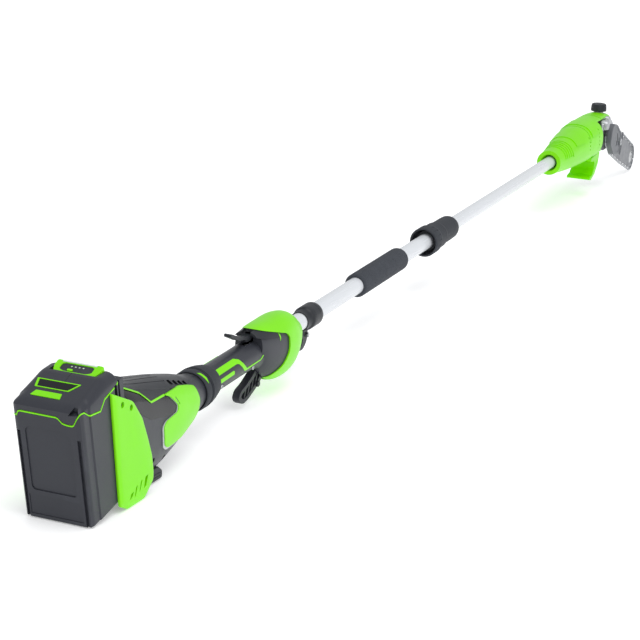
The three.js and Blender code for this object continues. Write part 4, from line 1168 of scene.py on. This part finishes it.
def closed_foam(name, colour):
    material, start, place = new_finish(name)
    cells = start.node("ShaderNodeTexVoronoi", {"feature": "F1"}, {"Vector": place, "Scale": 620})
    swell = start.cloud(place, 60, 4)
    tone = (cells * 0.7 + swell * 0.4).between(shaded(colour, 1.35), shaded(colour, 0.65))
    pits = (cells + swell).raised(0.0006, 0.6)
    return dress(
        material, {"Base Color": tone, "Roughness": swell * 0.1 + 0.78, "Normal": pits},
        {"Specular IOR Level": 0.25},
    )


FOAM = closed_foam("closed_cell_foam", (0.05, 0.055, 0.066))
FOAM_ROUNDING = 3.4
rounding = [
    (FOAM_ROUNDING * (1 - math.cos(turn)), FOAM_ROUNDING * (1 - math.sin(turn)))
    for turn in (math.pi / 2 * k / 6 for k in range(7))
]
foam_profile = [(13.8, 130)] + [(19.4 - inwards, 130 + back) for inwards, back in reversed(rounding)]
foam_profile += [(19.4 - inwards, 322 - back) for inwards, back in rounding] + [(13.8, 322)]
foam = settled(turned(foam_profile), "foam_grip_sleeve", FOAM)
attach(foam, "lower_pole")
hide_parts("foam_grip")

# ---- lock sleeve -----------------------------------------------------------------------------
# The rubber-skinned sleeve of the twist lock, flared at its mouth round the lower tube and fluted
# there for the fingers, with a ridge where the flare ends.
RING = Tree("ring_of_pieces", Template="Object", Count="Int", Turn="Vector", Finish="Material")
line = RING.node("GeometryNodeMeshLine", inlets={"Count": "Count", "Offset": (0, 0, 0)})
number = RING.node("GeometryNodeInputIndex")
turn = RING.node("ShaderNodeVectorMath", {"operation": "SCALE"}, {0: "Turn", "Scale": number})
template = RING.node("GeometryNodeObjectInfo", inlets={0: "Template"}, outlet="Geometry")
RING.finish(RING.node(
    "GeometryNodeInstanceOnPoints", inlets={"Points": line, "Instance": template, "Rotation": turn}
))

sleeve = turned([
    (22.5, 447), (24.4, 447), (25.3, 447.6), (25.7, 449), (25.7, 474), (25.3, 476), (24.4, 478), (23.9, 482),
    (23.4, 500), (23.1, 505), (23.3, 508), (22.6, 511), (21.6, 513), (21.4, 516), (21.3, 560), (20.9, 574),
    (20, 578.5), (18.4, 580.6), (16.9, 581), (12.9, 581), (12.9, 564), (18.2, 561), (18.2, 469), (22.5, 465),
])
FLUTES = 18
flute = turned([(0, 452), (1.1, 453), (1.1, 470), (0, 471)], 12)
flute.data.transform(Matrix.Translation((0, 0, 26)))
flutes = RING.grow(Template=flute, Count=FLUTES, Turn=(2 * math.pi / FLUTES, 0, 0), Finish=RUBBER)
sleeve = settled(worked(sleeve, [flutes]), "lock_sleeve_skin", RUBBER)
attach(sleeve, "lock_sleeve")
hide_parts("lock_sleeve")

# ---- saw head shells -------------------------------------------------------------------------
# Two lime green half shells, screwed together on the upper tube: a round cup behind, shallow
# ribs over the waist, raised bands over the motor and two columns of small vents on each flank.
HEAD_ROWS = [
    (1213, 0, 25.4, 25.4, 2), (1238, 0, 26.8, 26.8, 2), (1290, 1, 31.6, 32.6, 2.1), (1350, 3, 36.5, 38, 2.2),
    (1400, 5, 40, 41.5, 2.3), (1480, 6, 41.5, 43, 2.4), (1560, 6, 41, 42.5, 2.4), (1605, 5, 38, 40, 2.4),
    (1626, 4, 32, 34, 2.3),
]
HEAD_INSIDE = [
    (1262.3, 0, 24, 24, 2), (1290, 1, 29, 30, 2.1), (1350, 3, 33.5, 35, 2.2), (1400, 5, 37, 38.5, 2.3),
    (1480, 6, 38.5, 40, 2.4), (1560, 6, 38, 39.5, 2.4), (1605, 5, 35, 37, 2.4), (1623, 4, 29, 31, 2.3),
]
CASE = [(1532, 24), (1548, 30), (1625, 30), (1650, 16), (1660, -18), (1640, -36), (1575, -36), (1532, -22)]
SPINDLE = (1592, -6)
FILLER = (1596, 0)


def band_round(start, end, raised):
    """A shallow raised band round the head between two stations."""
    ends = [plank(1150, start, -70, 70, -90, 90), plank(end, 1700, -70, 70, -90, 90)]
    return worked(tapered(HEAD_ROWS, raised), ends)


case_bay = slab([(1596 + (x - 1596) * 1.015, -3 + (z + 3) * 1.03) for x, z in CASE], -22.8, 19.6, 8)
bar_bay = plank(1493, 1720, -60, -22.6, -90, 90)
front_cut = worked(slab([(1560, -22), (1575, -90), (1700, -90), (1700, 22), (1600, 22)], -60, 24), [
    slab([(1600, 20), (1700, 20), (1700, 90), (1622, 90), (1612, 44)], -60, 24),
], "UNION")
neck_hole = turned([(0, 30), (11.4, 30), (11.4, 70), (0, 70)], 48, "Z", FILLER)
cup_mouth = turned([(0, 1208), (20.5, 1208), (17, 1214), (15.5, 1224), (12.4, 1229), (0, 1229)])
head = tapered(HEAD_ROWS, spacing=4)
for start, end, crown in ((1316, 1362, 20), (1414, 1470, 24)):
    raised = worked(band_round(start, end, 1.5), [plank(1150, 1700, -60, 60, -90, crown)])
    head = worked(head, [raised], "UNION")
waist_cut = worked(tapered(HEAD_ROWS, 3, spacing=4), [tapered(HEAD_ROWS, -1.1, spacing=4)])
rib_gap = plank(1244, 1250, -60, 60, 4, 60)
rib_gaps = ROW.grow(Template=rib_gap, Count=5, Start=(0, 0, 0), Step=(10, 0, 0), Finish=LIME)
head = worked(head, [
    worked(waist_cut, [rib_gaps], "INTERSECT"), tapered(HEAD_INSIDE), tube_way(12.5, 1208, 1264), cup_mouth,
    bar_bay, case_bay, front_cut, neck_hole,
])
step_line = worked(tapered(HEAD_ROWS, 3), [tapered(HEAD_ROWS, -1.3)])
top_grooves = ROW.grow(
    Template=plank(1398.5, 1401.5, -60, 60, 14, 90), Count=2, Start=(0, 0, 0), Step=(132, 0, 0), Finish=LIME
)
head = worked(head, [worked(step_line, [top_grooves], "INTERSECT")])
for x, top, count in ((1392, 25, 4), (1462, 33, 5)):
    hole = turned([(0, -60), (2.4, -60), (2.4, 60), (0, 60)], 12, "Y")
    column = ROW.grow(Template=hole, Count=count, Start=(x, 0, top), Step=(1.5, 0, -8.5), Finish=LIME)
    head = worked(head, [worked(column, [plank(1400, 1700, -20, 20, -90, 90)])])
slit = slab([(1288, 14), (1291, 14), (1294, 2), (1291, 2)], -60, 60)
skin_layer = worked(tapered(HEAD_ROWS, 3), [tapered(HEAD_ROWS, -1)])
head = worked(head, [worked(skin_layer, [slit], "INTERSECT")])
for place in ((1290, -14), (1440, -24)):
    head = worked(head, [turned([(0, -60), (4.2, -60), (4.2, -30), (0, -30)], 24, "Y", place)])
head_right = settled(half(copied(head), -1), "head_shell_right_moulding", LIME)
head_left = settled(half(head, 1), "head_shell_left_moulding", LIME)
for piece, node in ((head_right, "head_shell_right"), (head_left, "head_shell_left")):
    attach(piece, "upper_pole")
    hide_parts(node)

# ---- limb hook -------------------------------------------------------------------------------
# The broad green scoop under the head that pulls cut branches down: concave behind, with a thick
# rib at each edge, moulded in the green plastic and screwed up into the shells.
hook_line = [
    (1470, -34), (1538, -31), (1530, -52), (1508, -72), (1478, -84), (1462, -82), (1464, -76), (1480, -74),
    (1496, -62), (1500, -50), (1490, -44), (1470, -42),
]
hook = slab(hook_line, -25, 25, 3, 1)
edge_line = [
    (1528, -46), (1526, -54), (1504, -74), (1474, -84), (1462, -82), (1464, -77), (1482, -75), (1500, -62),
]
ribs = [slab(edge_line, -26, -22.4, 2, 0.8), slab(edge_line, 22.4, 26, 2, 0.8)]
hook = worked(hook, ribs, "UNION")
hook = worked(hook, [tapered(HEAD_ROWS, 0.3), plank(1493, 1720, -60, -26.2, -90, 90)])
hook = settled(hook, "limb_hook_moulding", LIME)
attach(hook, "upper_pole")
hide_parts("limb_hook")

# ---- gear case -------------------------------------------------------------------------------
# The bead-blasted alloy case that carries motor and spindle, set into the head's nose. Its cover is
# cast with two round bosses at the top, which stand out beside the head's rim.


def cast_alloy(name, colour):
    """Die-cast alloy: bead-blasted grain, grey stains and a dull bloom where it has been handled."""
    material, start, place = new_finish(name)
    blast = start.cloud(place, 900, 3)
    stain = start.cloud(place, 26, 5, 0.6)
    tone = stain.between(shaded(colour, 1.12), shaded(colour, 0.72))
    sheen = stain * 0.2 + blast * 0.1 + 0.28
    grain = blast.raised(0.0003, 0.4)
    return dress(material, {"Base Color": tone, "Roughness": sheen, "Normal": grain}, {"Metallic": 0.85})


ALLOY = cast_alloy("bead_blasted_alloy", (0.52, 0.53, 0.55))
case = slab(CASE, -19.5, 19, 8, 1.4)
screw_bosses = [
    turned([(0, -18), (4.2, -18), (4.2, 19.4), (3.4, 20.2), (0, 20.2)], 32, "Y", place)
    for place in ((1558, 18), (1626, 16), (1632, -22), (1560, -22))
]
case = worked(case, screw_bosses, "UNION")
case_hollow = slab([(1596 + (x - 1596) * 0.86, -3 + (z + 3) * 0.82) for x, z in CASE], -16.5, 9.5, 5)
rotor_mouth = turned([(0, 1500), (8, 1500), (8, 1600), (0, 1600)])
spindle_seat = turned([(0, -30), (12, -30), (12, 16), (0, 16)], 48, "Y", SPINDLE)
nose_recess = slab([(1632, 10), (1668, 14), (1668, -6), (1640, -8)], -3.5, 3.5, 1)
case = worked(case, [case_hollow, spindle_seat, nose_recess, rotor_mouth])
case = settled(case, "gear_case_casting", ALLOY)
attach(case, "upper_pole")
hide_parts("gear_case")
cover = slab(CASE, -22.3, -19.8, 8, 0.6)
lump = turned([(0, -38), (8, -38), (9.6, -36.8), (11.4, -30), (11.4, -22), (0, -22)], 48, "Y", (1549, 27))
low_lump = turned([(0, -31.4), (7, -31.4), (8.4, -30), (9.4, -22), (0, -22)], 48, "Y", (1582, 33))
neck = worked(slab([(1530, 14), (1535, 32), (1590, 41), (1600, 28), (1560, 16)], -29, -22, 5, 2), [
    turned([(0, -60), (24, -60), (24, 0), (0, 0)], 64, "Y", SPINDLE),
])
cover = worked(cover, [lump, low_lump, neck], "UNION")
cover = worked(cover, [cross_hole(SPINDLE, 5.3, 60)])
cover = settled(cover, "gear_case_cover_casting", ALLOY)
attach(cover, "upper_pole")
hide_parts("gear_case_cover")

# ---- oil tank, seal and cap ------------------------------------------------------------------
# The milky tank under the head's shell has a neck through its top. The black cap screws down on
# the neck's seal; it is fluted for the fingers and has a bar across its top.


def milky_plastic(name, colour):
    """Translucent tank plastic: slightly yellowed, with a soft haze and a satin surface."""
    material, start, place = new_finish(name)
    haze = start.cloud(place, 30, 4)
    tone = haze.between(shaded(colour, 1.1), (colour[0] * 0.9, colour[1] * 0.86, colour[2] * 0.66, 1))
    return dress(material, {"Base Color": tone, "Roughness": haze * 0.15 + 0.35}, {"Specular IOR Level": 0.5})


frame["nodes"]["oil_tank"].data.materials[0] = milky_plastic("milky_tank_plastic", (0.5, 0.49, 0.43))
cap = turned([
    (0, 44.7), (7, 44.7), (7.6, 45.3), (7.6, 53), (11.8, 53), (11.8, 49.6), (17, 49.6), (17.5, 50.4),
    (17.2, 57),
    (16.2, 63.4), (15.2, 65), (13.4, 65.5), (12.6, 64.9), (0, 64.9),
], 96, "Z", FILLER)
CAP_TEETH = 24
tooth = turned([(0, 52), (0.8, 52.6), (1.6, 66), (0, 66)], 10, "Z", (17.9, 0))
teeth = RING.grow(Template=tooth, Count=CAP_TEETH, Turn=(0, 0, 2 * math.pi / CAP_TEETH), Finish=BLACK)
teeth.data.transform(Matrix.Translation((*FILLER, 0)))
bridge = plank(FILLER[0] - 12, FILLER[0] + 12, -2.2, 2.2, 64, 65.4)
cap = worked(worked(cap, [teeth]), [bridge], "UNION")
cap = settled(cap, "oil_cap_moulding", BLACK)
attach(cap, "oil_cap")
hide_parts("oil_cap")

# ---- bar, chain and sprockets ----------------------------------------------------------------
# The guide bar droops 21 degrees from the pole. The chain of drive links, tie straps and hooked
# cutters is laid along the bar's edge and turns on two toothed sprockets; a stud holds the bar.
NOSE_AT = 245
BAR_PLACE = Matrix.Translation((1592, 0, -6)) @ Matrix.Rotation(math.radians(21), 4, "Y")


def on_bar(body):
    """Carries a piece from the bar's own frame, which runs from the spindle to the nose, to the pole's."""
    body.data.transform(BAR_PLACE)
    return body


def round_nose(centre, radius, start, end, bends=24):
    turns = (math.radians(start + (end - start) * k / bends) for k in range(bends + 1))
    return [(centre + radius * math.cos(turn), radius * math.sin(turn)) for turn in turns]


bar_line = [(20, -14), (37, -27), (150, -28)] + round_nose(NOSE_AT, 24.5, -90, 90)
bar_line += [(150, 28), (37, 27), (20, 14)]
bar = worked(slab(bar_line, -28.8, -27.2), [
    slab([(26, -4.3), (74, -4.3), (74, 4.3), (26, 4.3)], -40, -20, 4), cross_hole((84, -14), 3, 40),
    cross_hole((NOSE_AT, 0), 15.4, 40), slab([(96, -2.4), (196, -2.4), (196, 2.4), (96, 2.4)], -28.4, -20, 2),
    slab([(96, -2.4), (196, -2.4), (196, 2.4), (96, 2.4)], -40, -28.6, 2),
])
BAR_STEEL = plain_metal("bar_steel", (0.25, 0.255, 0.27), 0.4, 0.2, 0.8)
bar = settled(on_bar(bar), "guide_bar_plate", BAR_STEEL)
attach(bar, "upper_pole")
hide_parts("guide_bar")


def toothed(teeth, root, tip, bore, low, high):
    """A sprocket about the Y axis with flat-topped teeth."""
    outline = []
    for k in range(teeth):
        for share, radius in ((-0.5, root), (-0.28, root), (-0.16, tip), (0.16, tip), (0.28, root)):
            turn = 2 * math.pi * (k + share) / teeth
            outline.append((radius * math.cos(turn), radius * math.sin(turn)))
    return worked(slab(outline, low, high, 0, 0), [cross_hole((0, 0), bore, 60)])


nose = toothed(9, 11.4, 14.4, 3.3, -28.7, -27.3)
nose.data.transform(Matrix.Translation((NOSE_AT, 0, 0)))
nose = settled(on_bar(nose), "nose_sprocket_plate", STEEL)
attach(nose, "nose_sprocket")
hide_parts("nose_sprocket")
frame["nodes"]["drive_sprocket"].data.materials[0] = STEEL
frame["nodes"]["bar_stud"].data.materials[0] = STEEL

LOOP = Tree("links_along_loop", Path="Object", Template="Object", Count="Int", Finish="Material")
path = LOOP.node("GeometryNodeObjectInfo", inlets={0: "Path"}, outlet="Geometry")
run = LOOP.node("GeometryNodeMeshToCurve", inlets={0: path})
beads = LOOP.node("GeometryNodeCurveToPoints", {"mode": "COUNT"}, {"Curve": run, "Count": "Count"}, "Points")
tangent = beads.node.outputs["Tangent"]
heading = LOOP.node(
    "FunctionNodeAlignRotationToVector", {"axis": "X", "pivot_axis": "Y"}, {"Vector": tangent}
)
template = LOOP.node("GeometryNodeObjectInfo", inlets={0: "Template"}, outlet="Geometry")
LOOP.finish(LOOP.node(
    "GeometryNodeInstanceOnPoints", inlets={"Points": beads, "Instance": template, "Rotation": heading}
))

CHAIN_GAP = 3.8
LINKS = 44


def chain_path(first_link=0):
    """A closed line of evenly spaced link centres round the bar, clockwise from above the spindle."""
    line = [(34, 27 + CHAIN_GAP), (150, 28 + CHAIN_GAP)] + round_nose(NOSE_AT, 24.5 + CHAIN_GAP, 90, -90)
    line += [(150, -28 - CHAIN_GAP), (34, -27 - CHAIN_GAP)] + round_nose(0, 15 + CHAIN_GAP, 252, 108, 16)
    line.append(line[0])
    spots = [Vector(point) for point in line]
    lengths = [0]
    for a, b in zip(spots, spots[1:]):
        lengths.append(lengths[-1] + (b - a).length)
    centres = []
    for link in range(LINKS):
        target = lengths[-1] * ((link + first_link) % LINKS) / LINKS
        stretch = max(k for k in range(len(spots) - 1) if lengths[k] <= target)
        share = (target - lengths[stretch]) / (lengths[stretch + 1] - lengths[stretch])
        spot = spots[stretch].lerp(spots[stretch + 1], share)
        centres.append((spot.x, -28, spot.y))
    return drawn(centres, [tuple(range(LINKS))])


strap_line = [
    (-7, -2.6), (7, -2.6), (7.3, -0.6), (6.4, 0.8), (1.4, 0.1), (-1.4, 0.1), (-6.4, 0.8), (-7.3, -0.6),
]
drive_line = [(-6.6, -3.1), (6.6, -3.1), (6.6, 0.2), (3, 1.6), (-3, 1.6), (-6.6, 0.2)]
rivet_profile = [(0, -2.4), (1.2, -2.4), (1.5, -2.1), (1.5, 2.1), (1.2, 2.4), (0, 2.4)]
rivets = [turned(rivet_profile, 10, "Y", (x, -0.9)) for x in (-3.7, 3.7)]
straps = [slab(strap_line, 0.85, 2.1, 0.5), slab(drive_line, -0.7, 0.7, 0.5)]
link = worked(slab(strap_line, -2.1, -0.85, 0.5), straps + rivets, "UNION")
links = LOOP.grow(Path=chain_path(), Template=link, Count=LINKS, Finish=GREASED_STEEL)
cutter_line = [
    (-7, -1), (-7, 2.4), (-1, 3.2), (-0.4, 3), (-1.4, 0.6), (1.6, 0.4), (2.4, 2.5), (5, 2.2), (6.4, -1),
]
for side, first_link in ((-1, 0), (1, 1)):
    cutter = slab(cutter_line, *sorted((side * 2.1, side * 0.9)))
    top_plate = slab([(-7, 1.9), (-1.2, 2.6), (-0.5, 3.2), (-7, 2.5)], *sorted((side * 2.5, -side * 0.4)))
    cutter = worked(cutter, [top_plate], "UNION")
    cutters = LOOP.grow(Path=chain_path(first_link), Template=cutter, Count=LINKS // 2, Finish=GREASED_STEEL)
    join = bmesh.new()
    join.from_mesh(links.data)
    join.from_mesh(cutters.data)
    join.to_mesh(links.data)
    join.free()
    bpy.data.objects.remove(cutters)
chain = settled(on_bar(links), "saw_chain_links", GREASED_STEEL)
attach(chain, "upper_pole")
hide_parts("saw_chain")

NUT_CORNER = 7.5 / math.cos(math.pi / 6)
hexagon = [(NUT_CORNER * math.cos(k * math.pi / 3), NUT_CORNER * math.sin(k * math.pi / 3)) for k in range(6)]
STUD_AT = (52, 0)
nut = worked(slab(hexagon, -47.3, -44.3), [cross_hole((0, 0), 3.3, 80)])
chamfer = turned([(0, -47.3), (7.4, -47.3), (9.2, -46.4), (9.2, -44.3), (0, -44.3)], 48, "Y")
nut = worked(nut, [chamfer], "INTERSECT")
nut.data.transform(Matrix.Translation((STUD_AT[0], 0, 0)))
nut = settled(on_bar(nut), "bar_nut_hexagon", GREASED_STEEL)
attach(nut, "upper_pole")
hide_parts("bar_nut")

# ---- side cover ------------------------------------------------------------------------------
# The grey moulded cover over the drive sprocket, clamped by the nut: a rounded-over plate with a
# raised rim, a chip window and a skirt that stands off the bar.
COVER_GREY = moulded("grey_cover_plastic", (0.13, 0.135, 0.15), 0.42, 0.3)
cover_line = [(-34, 10), (-24, 26), (8, 31), (52, 22), (66, 10), (66, -12), (56, -28), (10, -38), (-30, -22)]
hollow_line = [(-30, 9), (-22, 23), (8, 28), (90, 18), (90, -10), (54, -25), (10, -35), (-26, -20)]
field_line = [(-26, 6), (-18, 20), (8, 25), (48, 17), (60, 8), (60, -10), (52, -23), (10, -32), (-24, -19)]
chip_window = slab([(14, 14), (26, 12), (34, 2), (28, -14), (16, -18), (22, -4)], -60, -30, 2)
cover = worked(slab(cover_line, -44, -32.3, 8, 1.6), [
    slab(hollow_line, -41.5, -30, 6), chip_window, cross_hole(STUD_AT, 3.3, 60),
    slab(field_line, -45, -43.3, 7),
])
rib_bar = slab([(30, 26), (31.5, 26), (31.5, -26), (30, -26)], -44, -42.8)
ribs = ROW.grow(Template=rib_bar, Count=3, Start=(34, 0, 0), Step=(5, 0, 0), Finish=COVER_GREY)
nut_seat = turned([(0, -44), (11, -44), (11, -42.8), (0, -42.8)], 48, "Y", STUD_AT)
nut_seat = worked(nut_seat, [cross_hole(STUD_AT, 3.3, 60)])
cover = worked(cover, [nut_seat, ribs], "UNION")
cover = settled(on_bar(cover), "side_cover_moulding", COVER_GREY)
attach(cover, "upper_pole")
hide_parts("side_cover")
